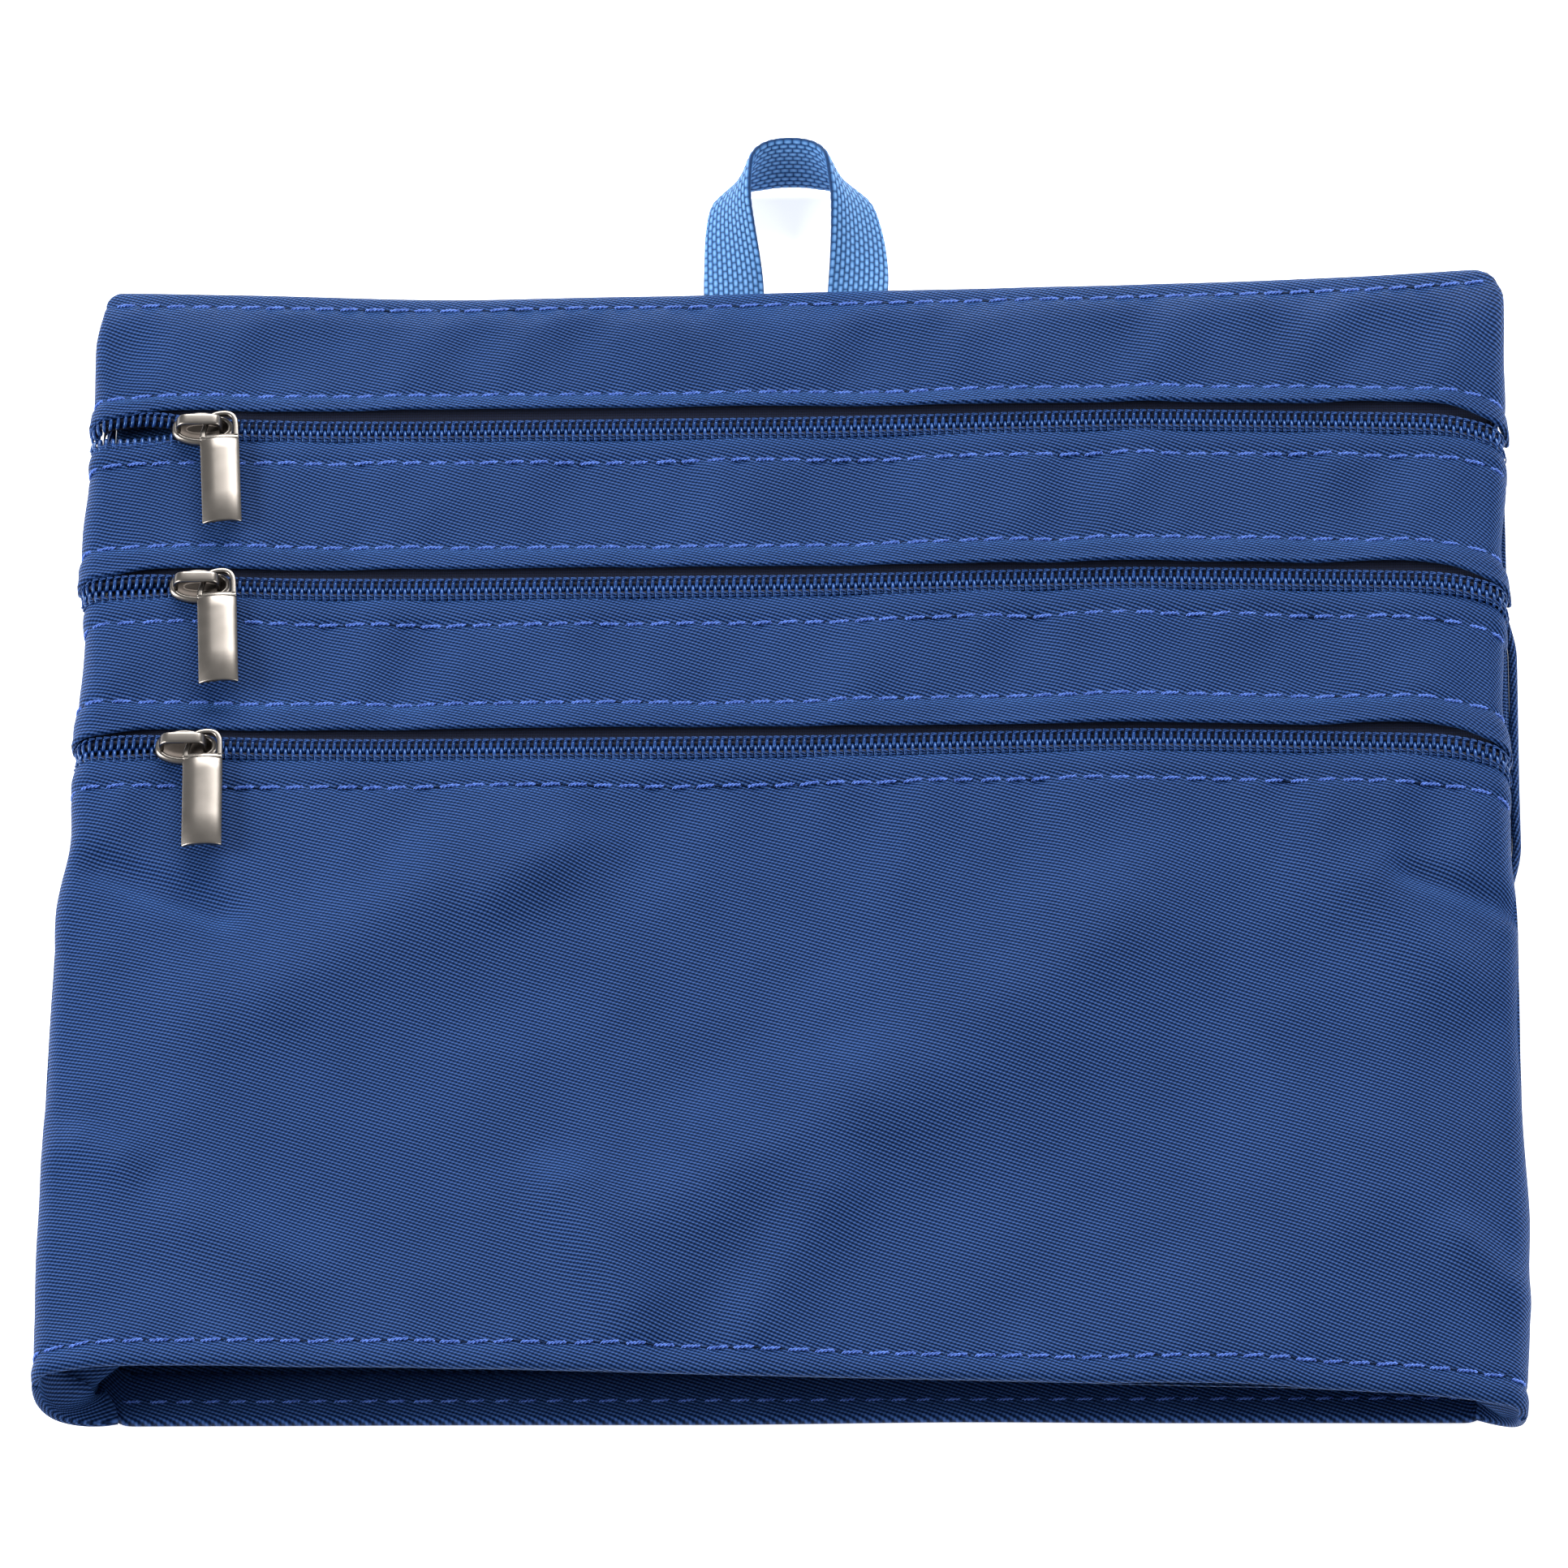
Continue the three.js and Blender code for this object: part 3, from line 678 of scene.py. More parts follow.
def webbing_material(name, dark, mid, light):
    """Woven webbing: columns of floats, set half a step apart, from UVs in floats."""
    n = Nodes(name)
    u, v = n.uv()
    column = n.math("FLOOR", u)
    shift = n.math("MULTIPLY", n.math("MODULO", column, 2.0), 0.5)
    along = n.math("ABSOLUTE", n.math("SINE", n.math("MULTIPLY", n.math("ADD", v, shift), math.pi)))
    across = n.math("ABSOLUTE", n.math("SINE", n.math("MULTIPLY", u, math.pi)))
    height = n.math("MULTIPLY", n.math("POWER", along, 0.4), n.math("POWER", across, 0.6))
    grain = n.noise(n.place(), 2600.0)
    tone = n.math("ADD", n.math("MULTIPLY", height, 0.9), n.math("MULTIPLY", grain, 0.15))
    n.set(Base_Color=n.ramp(tone, [(0.25, dark), (0.6, mid), (0.95, light)]), Roughness=0.5)
    n.set(Sheen_Weight=0.2, Sheen_Tint=(0.2, 0.5, 1.0), Specular_Tint=(0.4, 0.7, 1.0))
    n.bump(height, 0.7, 0.0003)
    return n.material


def metal_material(name, dark, light, roughness):
    """Warm nickel plate with faint wear."""
    n = Nodes(name)
    wear = n.noise(n.place(), 260.0, 4.0)
    n.set(Base_Color=n.ramp(wear, [(0.3, dark), (0.7, light)]), Metallic=1.0)
    n.set(Roughness=n.math("ADD", n.math("MULTIPLY", wear, 0.05), roughness))
    return n.material


def lining_material(name):
    n = Nodes(name)
    fine = n.noise(n.place(), 2200.0, 1.0)
    n.set(Base_Color=n.ramp(fine, [(0.42, (0.015, 0.017, 0.02)), (0.62, (0.36, 0.37, 0.36))]), Roughness=0.7)
    n.bump(fine, 0.4, 0.0001)
    return n.material


TWILL = twill_material("navy twill", (0.0008, 0.003, 0.016), (0.0075, 0.025, 0.095), (0.040, 0.092, 0.27))
TWILL_INSIDE = twill_material("inner twill", (0.0008, 0.003, 0.014), (0.006, 0.019, 0.07), (0.03, 0.07, 0.19))
THREAD = thread_material("stitching thread", (0.024, 0.055, 0.28), (0.12, 0.23, 0.70))
# Painted shade: near-black strands laid across the gaps between stitches, where the needle holes are in shade.
SHADE = thread_material("sunk thread", (0.0003, 0.0012, 0.008), (0.001, 0.004, 0.02), 0.05)
COIL_THREAD = thread_material("coil thread", (0.004, 0.016, 0.08), (0.025, 0.07, 0.25))
COIL = coil_material("nylon coil", (0.006, 0.026, 0.115), (0.018, 0.06, 0.23))
# The tape's own navy, darkened as painted shade for the black gap under the cloth's lips; the coil cores take it too.
TAPE = tape_material("zipper tape", (0.001, 0.003, 0.016), (0.004, 0.011, 0.045))
WEBBING = webbing_material("loop webbing", (0.003, 0.018, 0.085), (0.045, 0.145, 0.38), (0.17, 0.36, 0.68))
NICKEL = metal_material("polished nickel", (0.21, 0.19, 0.17), (0.245, 0.222, 0.2), 0.28)
# Painted shade: a darker copy of the nickel for the plate's sunken floor under the bridge.
SHADED_RECESS_NICKEL = metal_material("shadowed nickel", (0.03, 0.025, 0.021), (0.055, 0.046, 0.04), 0.38)
LINING = lining_material("dark lining")


# ---- Cloth panels of the face ----
COLUMN_STEP = 0.75
ROW_STEP = 0.75


def panel_rows(top, bottom, top_fold, bottom_fold, top_under, bottom_under):
    """Rows of a panel: (share between its edges, shift of s, shift of h) from top to bottom."""
    def folded(sign, fold, under):
        rows = []
        if not fold:
            return rows
        for angle in np.linspace(math.pi, math.pi / 8, 7):
            rows.append((fold * math.sin(angle), -fold * (1 - math.cos(angle))))
        tucked = np.linspace(under, 0.6, max(2, int(under / 1.2)))
        rows = [(-step, -2 * fold) for step in tucked] + rows
        return [(sign * shift, drop) for shift, drop in rows]

    count = int((bottom - top) / ROW_STEP)
    rows = [(0.0, shift, drop) for shift, drop in folded(-1, top_fold, top_under)]
    rows += [(share, 0.0, 0.0) for share in np.linspace(0, 1, count)]
    rows += [(1.0, shift, drop) for shift, drop in folded(1, bottom_fold, bottom_under)[::-1]]
    return np.array(rows)


def panel(name, top_edge, bottom_edge, folds, unders):
    rows = panel_rows(float(top_edge(0.0)), float(bottom_edge(0.0)), *folds, *unders)
    count = int(2 * HALF / COLUMN_STEP)
    shares = np.linspace(-1, 1, count)
    share, shift, drop = (rows[:, None, k] for k in range(3))
    guess = shares[None, :] * HALF
    top, bottom = top_edge(guess), bottom_edge(guess)
    s = top + (bottom - top) * share + shift
    inside = np.clip(s, 0.0, LENGTH)
    t = shares[None, :] * reach(guess, inside)
    top, bottom = top_edge(t), bottom_edge(t)
    edge = top + (bottom - top) * share
    s = edge + shift
    h = np.where(drop == 0, relief(t, s), relief(t, edge if abs(shift).max() < 1 else s) + drop)
    points = wrap(t, s, h)
    middle = points[:, points.shape[1] // 2]
    along = np.concatenate([[0], np.cumsum(np.linalg.norm(np.diff(middle, axis=0), axis=1))]) / MM
    v = (along - along[len(along) // 2])[:, None] + float(top_edge(0.0)) + 0 * t
    uv = np.stack([t, v], -1)
    obj = new_object(name, points, grid_faces(*t.shape), uv=uv)
    return thicken(obj, CLOTH)


def edge_above(index):
    return lambda t: (
        zip_line(index, t) - LIP_UP[index] + 0.9 * smooth(t, -20, 50) * (1 - smooth(t, 86, 98))
        + 1.3 * smooth(np.abs(t), HALF - 11, HALF - 1)
    )


def edge_below(index):
    return lambda t: zip_line(index, t) + LIP_DOWN


# Each panel: its name, top and bottom edges, the radii of its folded lips, how far they tuck
# under, and the CAD node that it replaces.
bands = [
    ("face_top_band", lambda t: 0.02 + 0 * t, edge_above(0), (0, LIP_FOLD), (0, 4.5), "top_band"),
    ("face_upper_band", edge_below(0), edge_above(1), (LIP_FOLD, LIP_FOLD), (4.5, 4.5), "upper_band"),
    ("face_middle_band", edge_below(1), edge_above(2), (LIP_FOLD, LIP_FOLD), (4.5, 4.5), "middle_band"),
    ("face_lower_panel", edge_below(2), lambda t: LENGTH - HEM_FOLD + 0 * t,
     (LIP_FOLD, HEM_FOLD), (4.5, 7.0), "lower_panel"),
]
panels = {}
for name, top_edge, bottom_edge, folds, unders, node in bands:
    panels[name] = panel(name, top_edge, bottom_edge, folds, unders)
    held = (node, "front_hem_facing") if node == "lower_panel" else (node,)
    dress(panels[name], TWILL, "front", held, "twill")


# ---- Stitches ----
def stitches(name, line, start, end, body, surface, replaces=(), lift=relief, seed=1, place=wrap):
    """A sewn line: short two-ply stitches whose ends dive into the cloth, with near-black strands across the gaps
    between them as painted shade.
    """
    rng = np.random.RandomState(seed)
    count = int((end - start) / STITCH_PITCH)
    begins = start + np.arange(count) * STITCH_PITCH + rng.uniform(-0.15, 0.15, count)
    lengths = rng.uniform(3.15, 3.5, count)
    share = np.linspace(0, 1, 15)
    t = begins[:, None] + lengths[:, None] * share
    slant = rng.uniform(0.15, 0.4, count)[:, None]
    s = line(t) + slant * (0.5 - share)
    h = lift(t, line(t)) + 0.36 * np.sin(math.pi * share) ** 0.45 - 0.12
    twist = share * 2 * math.pi * 2.6 + rng.uniform(0, 6, count)[:, None]
    plies = []
    for ply in (0, math.pi):
        plies.append(np.stack([t, s + 0.15 * np.cos(twist + ply), h + 0.13 * np.sin(twist + ply)], -1))
    obj = strand_mesh(name, np.concatenate(plies), 0.18, 6, place=place)
    obj.data.materials.append(surface)
    # Near-black strands across each gap between stitches: painted shade of the sunk gaps.
    gap = np.linspace(0, 1, 6)
    from_t, to_t = (begins + lengths)[:-1, None] - 0.22, begins[1:, None] + 0.22
    t = from_t + (to_t - from_t) * gap
    s = line(t) + slant[:-1] * 0.5 * (2 * gap - 1)
    h = lift(t, line(t)) - 0.12 + 0.13 * np.abs(2 * gap - 1) ** 2
    gap_shade = strand_mesh(name, [*np.stack([t, s, h], -1)], 0.30, 6, 0.6, place=place)
    gap_shade.data.materials.append(SHADE)
    obj = joined(name, obj, gap_shade)
    if replaces:
        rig.replaces(obj, *replaces)
    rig.slot(obj, "thread")
    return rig.ride(obj, body)


END = HALF + 2.4  # where the stitched lines end, round the sides
stitches("stitches_top_edge", top_line, -END + 3.5, END - 4.5, "front", THREAD,
         ["topstitch_top_edge"], seed=2)
stitches("stitches_hem", hem_line, -END - 1.4, END, "front", THREAD, ["topstitch_hem"], seed=3)
for n in ZIPS:
    for word, edge, first_seed in (("above", stitch_above, 10), ("below", stitch_below, 20)):
        line = lambda t, edge=edge, index=n - 1: edge(index, t)
        stitches(f"stitches_{word}_zip_{n}", line, -END - 1.4, END, "front", THREAD,
                 [f"topstitch_{word}_zipper_{n}"], seed=first_seed + n)


# ---- Zippers ----
EYE = {1: 3.6, 2: 1.1, 3: 0.9}  # how far the rows part to the left of each parked slider
EYE_LONG = 19.5
ROW_START = -HALF - 3.6
ROW_END = HALF + 1.7


def parting(n, t):
    """Half the gap between the two rows of a zipper."""
    slider = PIVOTS[n - 1][0] - 7.0
    share = np.clip((slider + 2 - t) / EYE_LONG, 0, 1)
    return 0.5 * EYE[n] * np.sin(math.pi * share) ** 0.7


def row_word(side):
    """side is -1 for the row towards the seam and 1 for the row towards the hem."""
    return "lower" if side > 0 else "upper"


def coil_row(n, side):
    """One coil row: a flattened helix whose heads reach just past the zipper's middle."""
    turns, steps = int((ROW_END - ROW_START) / COIL_PITCH), 12
    phase = np.arange(turns * steps + 1) / steps
    angle = phase * 2 * math.pi
    lean = 0.85  # how far each turn leans along the row, as a share of the pitch
    t = ROW_START + COIL_PITCH * (phase + lean / (2 * math.pi) * (np.cos(angle) - 1))
    t = t + (COIL_PITCH / 2 if side > 0 else 0)
    reach_out = 1.18
    middle = 0.85
    q = side * (middle - reach_out * np.cos(angle) + parting(n, t))
    h = COIL_CENTRE + 0.58 * np.sin(angle)
    s = zip_line(n - 1, t) + q
    centre = np.stack([t, s, h], -1)
    ahead = np.gradient(centre, axis=0)
    ahead /= np.linalg.norm(ahead, axis=1, keepdims=True)
    along_t = np.tile([1.0, 0, 0], (len(t), 1))
    first = along_t - ahead * (along_t * ahead).sum(1, keepdims=True)
    first /= np.linalg.norm(first, axis=1, keepdims=True)
    second = np.cross(ahead, first)
    around = np.arange(6) / 6 * 2 * math.pi
    across = np.cos(around)[None, :, None] * first[:, None]
    upward = np.sin(around)[None, :, None] * second[:, None]
    places = centre[:, None] + (across + upward) * COIL_WIRE
    points = wrap(places[..., 0], places[..., 1], places[..., 2])
    return tube_object(f"coil_{n}_{row_word(side)}", points[None])


def coil_threads(n, side):
    """The sewing that holds a coil row to its tape."""
    count = int((ROW_END - ROW_START) / COIL_PITCH)
    begins = ROW_START + np.arange(count) * COIL_PITCH + (COIL_PITCH / 2 if side > 0 else 0)
    share = np.linspace(0, 1, 6)
    t = begins[:, None] + 1.05 * share
    base = zip_line(n - 1, t) + side * parting(n, t)
    h = COIL_CENTRE + 0.80 + 0.12 * np.sin(math.pi * share)
    inner = np.stack([t, base + side * (1.35 + 0.35 * share), h + 0 * t], -1)
    outer = np.stack([t, base + side * (2.0 - 0.1 * share), h - 0.28 + 0 * t], -1)
    return strand_mesh(f"coil_sewing_{n}_{row_word(side)}", np.concatenate([inner, outer]), 0.13, 5)


def coil_core(n, side):
    """The filler cord inside a coil row."""
    t = np.linspace(ROW_START, ROW_END, 240)
    s = zip_line(n - 1, t) + side * (1.0 + parting(n, t))
    path = np.stack([t, s, COIL_CENTRE + 0 * t], -1)
    return strand_mesh(f"coil_core_{n}_{row_word(side)}", [path], 0.42, 8)


def tape(n, side):
    """One woven tape, under its coil row and on under the cloth's turned lip."""
    across = np.array([0.35, 0.5, 1.2, 2.2, 3.4, 5.0, 6.6, 8.0])
    t = np.linspace(ROW_START - 0.4, ROW_END + 0.4, 260)[:, None]
    s = zip_line(n - 1, t) + side * (across[None] + parting(n, t) * (across[None] < 3))
    h = TAPE_H + 0.04 * cloud(t, s, 6, 50 + n) + 0 * s
    uv = np.stack([t + 0 * s, s], -1)
    name = f"tape_{n}_{row_word(side)}"
    obj = new_object(name, wrap(t, s, h), grid_faces(*s.shape, flip=side > 0), uv=uv)
    return thicken(obj, 0.3)


for n in ZIPS:
    for side in (-1, 1):
        word = row_word(side)
        row = dress(coil_row(n, side), COIL)
        core = dress(coil_core(n, side), TAPE)
        sewing = dress(coil_threads(n, side), COIL_THREAD)
        row = joined(f"coil_{n}_{word}", row, core, sewing)
        strip = tape(n, side)
        dress(strip, TAPE, "front", [f"zipper_{n}_{word}_tape"], "zipper_tape")
        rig.ride(row, "front")
        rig.replaces(row, f"zipper_{n}_{word}_coil")
        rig.slot(row, "zipper_coil")


# ---- Back of the bag, in plain millimetres: x, distance from the seam, height over the ground ----
GROUND = 0.03
BACK_CORNER = {"left": 9.5, "right": 5.0}  # how far the back's hem corners sit in from the face's
BACK_TOP = back_high.z - 0.05
BACK_LENGTH = LENGTH - 1.1


def on_back(x, s, z):
    """World places on the back: x, s down it from the seam, z over the ground."""
    x, s, z = np.broadcast_arrays(x, s, z)
    return MM * np.stack([x, SEAM_Y - s, z], -1)


def back_half(x, s):
    """Half width of the back: drawn in under the face but for a stretch that peeks out beside it."""
    radius = 5.5
    short = np.clip(radius - s, 0, radius)
    peek = smooth(s, 58, 72) * (1 - smooth(s, 108, 122))
    inset = np.where(x < 0, 1.2, 2.4) * (1 - peek)
    corner = np.where(x < 0, BACK_CORNER["left"], BACK_CORNER["right"]) * smooth(s, LENGTH - 16, LENGTH)
    return back_high.x - radius + np.sqrt(radius * radius - short * short) - inset - corner


def back_panel():
    """A slab whose section, from the seam to the hem and back under, is swept across the bag."""
    upper = np.linspace(1.2, BACK_LENGTH - 0.9, 170)
    turn = np.linspace(math.pi / 2, -math.pi / 2, 7)[1:-1]
    rise = BACK_TOP + (1.6 - BACK_TOP) * (1 - smooth(upper, 1, 6))
    lower = upper[::-3]
    s = np.concatenate([upper, BACK_LENGTH - 0.9 + 0.45 * np.cos(turn), lower, 1.2 - 1.2 * np.cos(turn)])
    under = GROUND + 0.4 * smooth(lower, LENGTH - 4, LENGTH - 1)
    z = np.concatenate([rise, 0.7 + 0.25 * np.sin(turn), under, 0.96 - 0.94 * np.sin(turn)])
    columns = np.sin(np.linspace(-math.pi / 2, math.pi / 2, 201))
    x = columns[:, None] * back_half(columns[:, None], s[None])
    swing = seam_swing(x) * (1 - smooth(s, 0, 18))
    edge = np.sqrt(np.clip(1 - ((np.abs(columns) - 0.996) / 0.004).clip(0, 1) ** 2, 0.02, 1))[:, None]
    wave = 0.10 * (cloud(x, s + 0 * x, 24, 71) + 1) + 0.05 * (cloud(x, s + 0 * x, 7, 72) + 1)
    inner = smooth(s, 3, 10) * (1 - smooth(s, LENGTH - 12, LENGTH - 6))
    z = 0.5 + (z - 0.5) * edge + wave * inner
    points = on_back(x, s + swing, z)
    uv = np.stack([x + 0 * s, s + 0 * x], -1)
    return tube_object("back_cloth", points[None], uv)


def back_hem():
    """The hem strip, folded round the back's open edge and turned in."""
    turn = np.linspace(math.pi / 2, -math.pi / 2, 9)
    s = BACK_LENGTH + np.concatenate([[-8, -6, -4.2, -2.6, -1.2], 0.1 + 0.75 * np.cos(turn)])
    z = np.concatenate([[1.12, 1.3, 1.22, 1.30, 1.55], 0.81 + 0.76 * np.sin(turn)])
    x = np.linspace(-HALF + BACK_CORNER["left"] - 1.5, HALF - BACK_CORNER["right"] + 0.5, 320)[:, None]
    ripple = 0.10 * cloud(x, 0 * x, 5, 81) * smooth(s, LENGTH - 7, LENGTH - 1) * (z > 0.9)
    ends = 1 - smooth(np.minimum(x - x[0], x[-1] - x), 0, 6)
    swing = 0.25 * cloud(x, 0 * x, 40, 82) - 2.6 * ends**1.5
    points = on_back(x, s + swing, z + ripple)
    uv = np.stack([x + 0 * s, 230 + s + 0 * x], -1)
    obj = new_object("back_hem", points, grid_faces(x.size, s.size), uv=uv)
    return thicken(obj, 0.3)


def back_hem_lift(x, s):
    return 1.32 + 0 * x


dress(back_panel(), TWILL_INSIDE, "root", ["back_panel"], "twill")
dress(back_hem(), TWILL, "root", ["back_hem_facing"], "twill")
stitches("stitches_back_hem", lambda x: BACK_LENGTH - 2.7 + 0 * x, -HALF + 12, HALF - 8, "root", THREAD,
         ["back_hem_topstitch"], back_hem_lift, 5, on_back)


def seam_allowance():
    """The raw edges of the top seam, turned down inside the bag."""
    low, high = (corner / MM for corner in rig.box("top_seam_allowance"))
    x = np.linspace(low.x, high.x, 240)[:, None]
    turn = np.linspace(0, 2 * math.pi, 17)[:-1]
    y = (low.y + high.y) / 2 + (high.y - low.y) / 2 * blunt(np.cos(turn), 0.3)
    z = (low.z + high.z) / 2 + (high.z - low.z) / 2 * np.sin(turn)
    y = y + 0.25 * cloud(x, 0 * x, 5, 91) * (np.cos(turn) < 0)
    points = MM * np.stack(np.broadcast_arrays(x, y, z), -1)
    uv = np.stack(np.broadcast_arrays(x, y + turn), -1)
    return tube_object("seam_allowance", points[None], uv)


def side_ridge(side):
    """The sewn ridge where the gusset meets the back."""
    low, high = (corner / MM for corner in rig.box(f"{side}_side_seam"))
    s = np.linspace(SEAM_Y - high.y, SEAM_Y - low.y - 2, 200)[:, None]
    turn = np.linspace(0, 2 * math.pi, 13)[:-1]
    sign = -1 if side == "left" else 1
    end = np.sqrt(np.clip(smooth(s, s[0], s[0] + 6) * (1 - smooth(s, s[-1] - 6, s[-1])), 0.05, 1))
    line = back_half(sign, s) + 0.75 + 0.12 * cloud(s, 0 * s, 9, 95)
    x = sign * line + 0.75 * end * np.cos(turn)
    z = 0.86 + 0.7 * end * np.sin(turn) + 0 * s
    points = on_back(x, s, z)
    uv = np.stack(np.broadcast_arrays(s, turn * 0.7 + 0 * s), -1)
    return tube_object(f"{side}_ridge", points[None], uv)


dress(seam_allowance(), TWILL_INSIDE, "root", ["top_seam_allowance"], "twill")
for side in ("left", "right"):
    dress(side_ridge(side), TWILL, "root", [f"{side}_side_seam"], "twill")

# ---- Gussets: cloth that joins the face's sides to the back, tucked in along its middle ----
GUSSET_START = SEAM_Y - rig.box("left_gusset")[1].y / MM
GUSSET_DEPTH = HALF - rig.box("right_gusset")[0].x / MM - 1
GUSSET_PARTS = 7
GUSSET_LOW = 1.25  # height of its lower edge over the ground
GUSSET_BULGE = {"left": 1.0, "right": 0.55}  # how far its mouth puffs out past the face


def gusset_place(side, share, s):
    """World places on a gusset: share runs from 0 at the back to 1 at the face, s down from the seam."""
    sign = -1 if side == "left" else 1
    inner = np.clip(s, 0, LENGTH)
    mouth = smooth(inner, LENGTH - 30, LENGTH)
    bulge = GUSSET_BULGE[side] * smooth(inner, LENGTH - 12, LENGTH) * np.sin(math.pi * share**0.75) ** 0.8
    back_x = back_half(sign, inner) - 0.2
    edge_t = sign * (reach(sign * HALF, inner) - 0.6)
    edge = wrap(edge_t, s, -0.25 + 0 * inner) / MM
    grown = smooth(inner, GUSSET_START, GUSSET_START + 50)
    depth = GUSSET_DEPTH * grown * (1 - smooth(inner, LENGTH - 10, LENGTH - 1))
    tuck = 1 - np.sqrt((2 * share - 1) ** 2 + 0.012)
    x = back_x + (np.abs(edge[..., 0]) - back_x) * share - depth * np.clip(tuck, 0, 1) + 4.6 * bulge
    z = GUSSET_LOW + (edge[..., 2] - GUSSET_LOW) * share - 0.9 * mouth * np.sin(math.pi * share)
    y = (SEAM_Y - s) * (1 - share) + edge[..., 1] * share - 1.5 * bulge
    return MM * np.stack(np.broadcast_arrays(sign * x, y, z), -1)


def gusset_piece(side, number, first, last):
    """The gusset from first to last down it; the last piece ends in a hem turned inwards."""
    rows = np.linspace(first, last, int((last - first) / 0.9))
    offset = np.zeros_like(rows)
    if number == GUSSET_PARTS:
        turn = np.linspace(0, math.pi, 8)
        back = np.linspace(0.6, 5.0, 5)
        rows = np.concatenate([rows, LENGTH - 0.4 + 0.6 * np.sin(turn[1:]), LENGTH - 0.4 - back])
        offset = np.concatenate([offset, 0.55 * (1 - np.cos(turn[1:])), 1.1 + 0 * back])
    share = np.linspace(0, 1, 41)[None]
    s = rows[:, None] + 0 * share
    points = gusset_place(side, share, s)
    ripple = 0.12 * cloud(20 * share, s, 5, 60 + number)
    across = np.gradient(points, axis=1)
    down = gusset_place(side, share, s + 0.1) - gusset_place(side, share, s)
    normal = np.cross(across, down)
    normal /= np.linalg.norm(normal, axis=-1, keepdims=True) + 1e-12
    inward = 1 if side == "left" else -1
    points = points + MM * normal * inward * (offset[:, None, None] - ripple[..., None])
    uv = np.stack([24 * share + 0 * s, s + offset[:, None] * 2], -1)
    obj = new_object(f"{side}_gusset_{number}", points, grid_faces(*s.shape, flip=side == "right"), uv=uv)
    return thicken(obj, 0.3, 0)


def gusset_blend(obj, s):
    """Bends a piece from the back to the face, evenly about the plane half way between them."""
    wedge = 2 * math.tan(TILT / 2)
    along = np.array([0, -math.cos(TILT / 2), math.sin(TILT / 2)])
    square = np.array([0, math.sin(TILT / 2), math.cos(TILT / 2)])
    middle = FOLD + MM * s * along + np.array([0, 0, -0.0003])
    up = square * MM * (s * wedge / 2 + 0.8)
    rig.blend(obj, "root", "front", start=tuple(middle - up), end=tuple(middle + up))


ends = np.linspace(GUSSET_START, LENGTH - 0.4, GUSSET_PARTS + 1)
for side in ("left", "right"):
    for number in range(1, GUSSET_PARTS + 1):
        first = ends[number - 1] - (0.8 if number > 1 else 0)
        piece = gusset_piece(side, number, first, ends[number])
        dress(piece, TWILL, None, [f"{side}_gusset"], "twill")
        gusset_blend(piece, (ends[number - 1] + ends[number]) / 2)


def gusset_stitches(side):
    """The gusset's own hem stitches, running on round the mouth's corner."""
    count = 4
    length = 0.78 / count
    plies = []
    share = np.linspace(0, 1, 13)
    for number in range(count):
        w = 0.12 + length * (number + 0.72 * share)
        arch = 0.34 * np.sin(math.pi * share) ** 0.5
        for ply in (0, math.pi):
            twist = share * 2 * math.pi * 2.4 + ply
            s = LENGTH - 3.2 + 0.11 * np.cos(twist)
            base = gusset_place(side, w, s) / MM
            inward = np.array([0.8 if side == "left" else -0.8, 0, 0.6])
            plies.append(base + inward * (0.3 + arch + 0.1 * np.sin(twist))[:, None])
    centre = np.array(plies)
    turn = np.arange(6) / 6 * 2 * math.pi
    ring = 0.15 * np.stack([0.6 * np.cos(turn), np.sin(turn), -0.8 * np.cos(turn)], -1)
    return tube_object(f"stitches_{side}_gusset", MM * (centre[:, :, None] + ring[None, None]))


for side in ("left", "right"):
    line = dress(gusset_stitches(side), THREAD, None, (), "thread")
    gusset_blend(line, (ends[-1] + ends[-2]) / 2)


# ---- Sheets inside the face ----
def face_box(node):
    """Lowest and highest x, s, h in mm of a CAD node on the face."""
    corners = np.array([vertex.co for vertex in frame["nodes"][node].data.vertices])
    places = np.array([on_face(corner) for corner in corners])
    return places.min(0), places.max(0)


def inner_sheet(name, node, surface, seed, lift=None):
    """A sheet between the face and the sleeve, a little narrower than its CAD plate."""
    low, high = face_box(node)
    x = np.linspace(low[0] + 0.8, high[0] - 1.8, 170)[:, None]
    s = np.linspace(low[1], high[1], 140)[None]
    h = (low[2] + high[2]) / 2 + 0.12 * cloud(x, s, 30, seed) + 0.05 * cloud(x, s, 8, seed + 1)
    if lift:
        h = h + lift(s)
    hem = 0.1 * np.exp(-(((s - high[1] + 1) / 0.8) ** 2)) - 0.12 * np.exp(-(((s - high[1] + 3.2) / 0.5) ** 2))
    settle = np.maximum(mouth_lift(x, s), -1.0)
    points = to_world(x + 0 * s, s + hem_swing(x) * smooth(s, 120, LENGTH), h + hem + settle)
    uv = np.stack(np.broadcast_arrays(x, s), -1)
    obj = new_object(name, points, grid_faces(x.size, s.size, flip=True), uv=uv)
    thicken(obj, 0.28, 0)
    return dress(obj, surface, "front", [node], "lining" if surface is LINING else "twill")


inner_sheet("divider_front", "pocket_divider_front", LINING, 101)
inner_sheet("divider_rear", "pocket_divider_rear", LINING, 103)
inner_sheet("sleeve_wall", "sleeve_front_wall", TWILL_INSIDE, 105,
            lambda s: 2.7 * smooth(s, LENGTH - 26, LENGTH - 3))


# ---- Sliders and their pulls, in mm about the slider's middle on the face ----
# Across the plate's rim from its outline inwards: (share of the way in, height).
metal_profile = [(0.0, 0.0), (0.02, 0.30), (0.07, 0.62), (0.14, 0.78), (0.22, 0.80), (0.29, 0.70),
                 (0.34, 0.40), (0.40, 0.25), (0.70, 0.22), (1.0, 0.22)]
RIM_POINTS = 5  # the profile's points before its inner wall


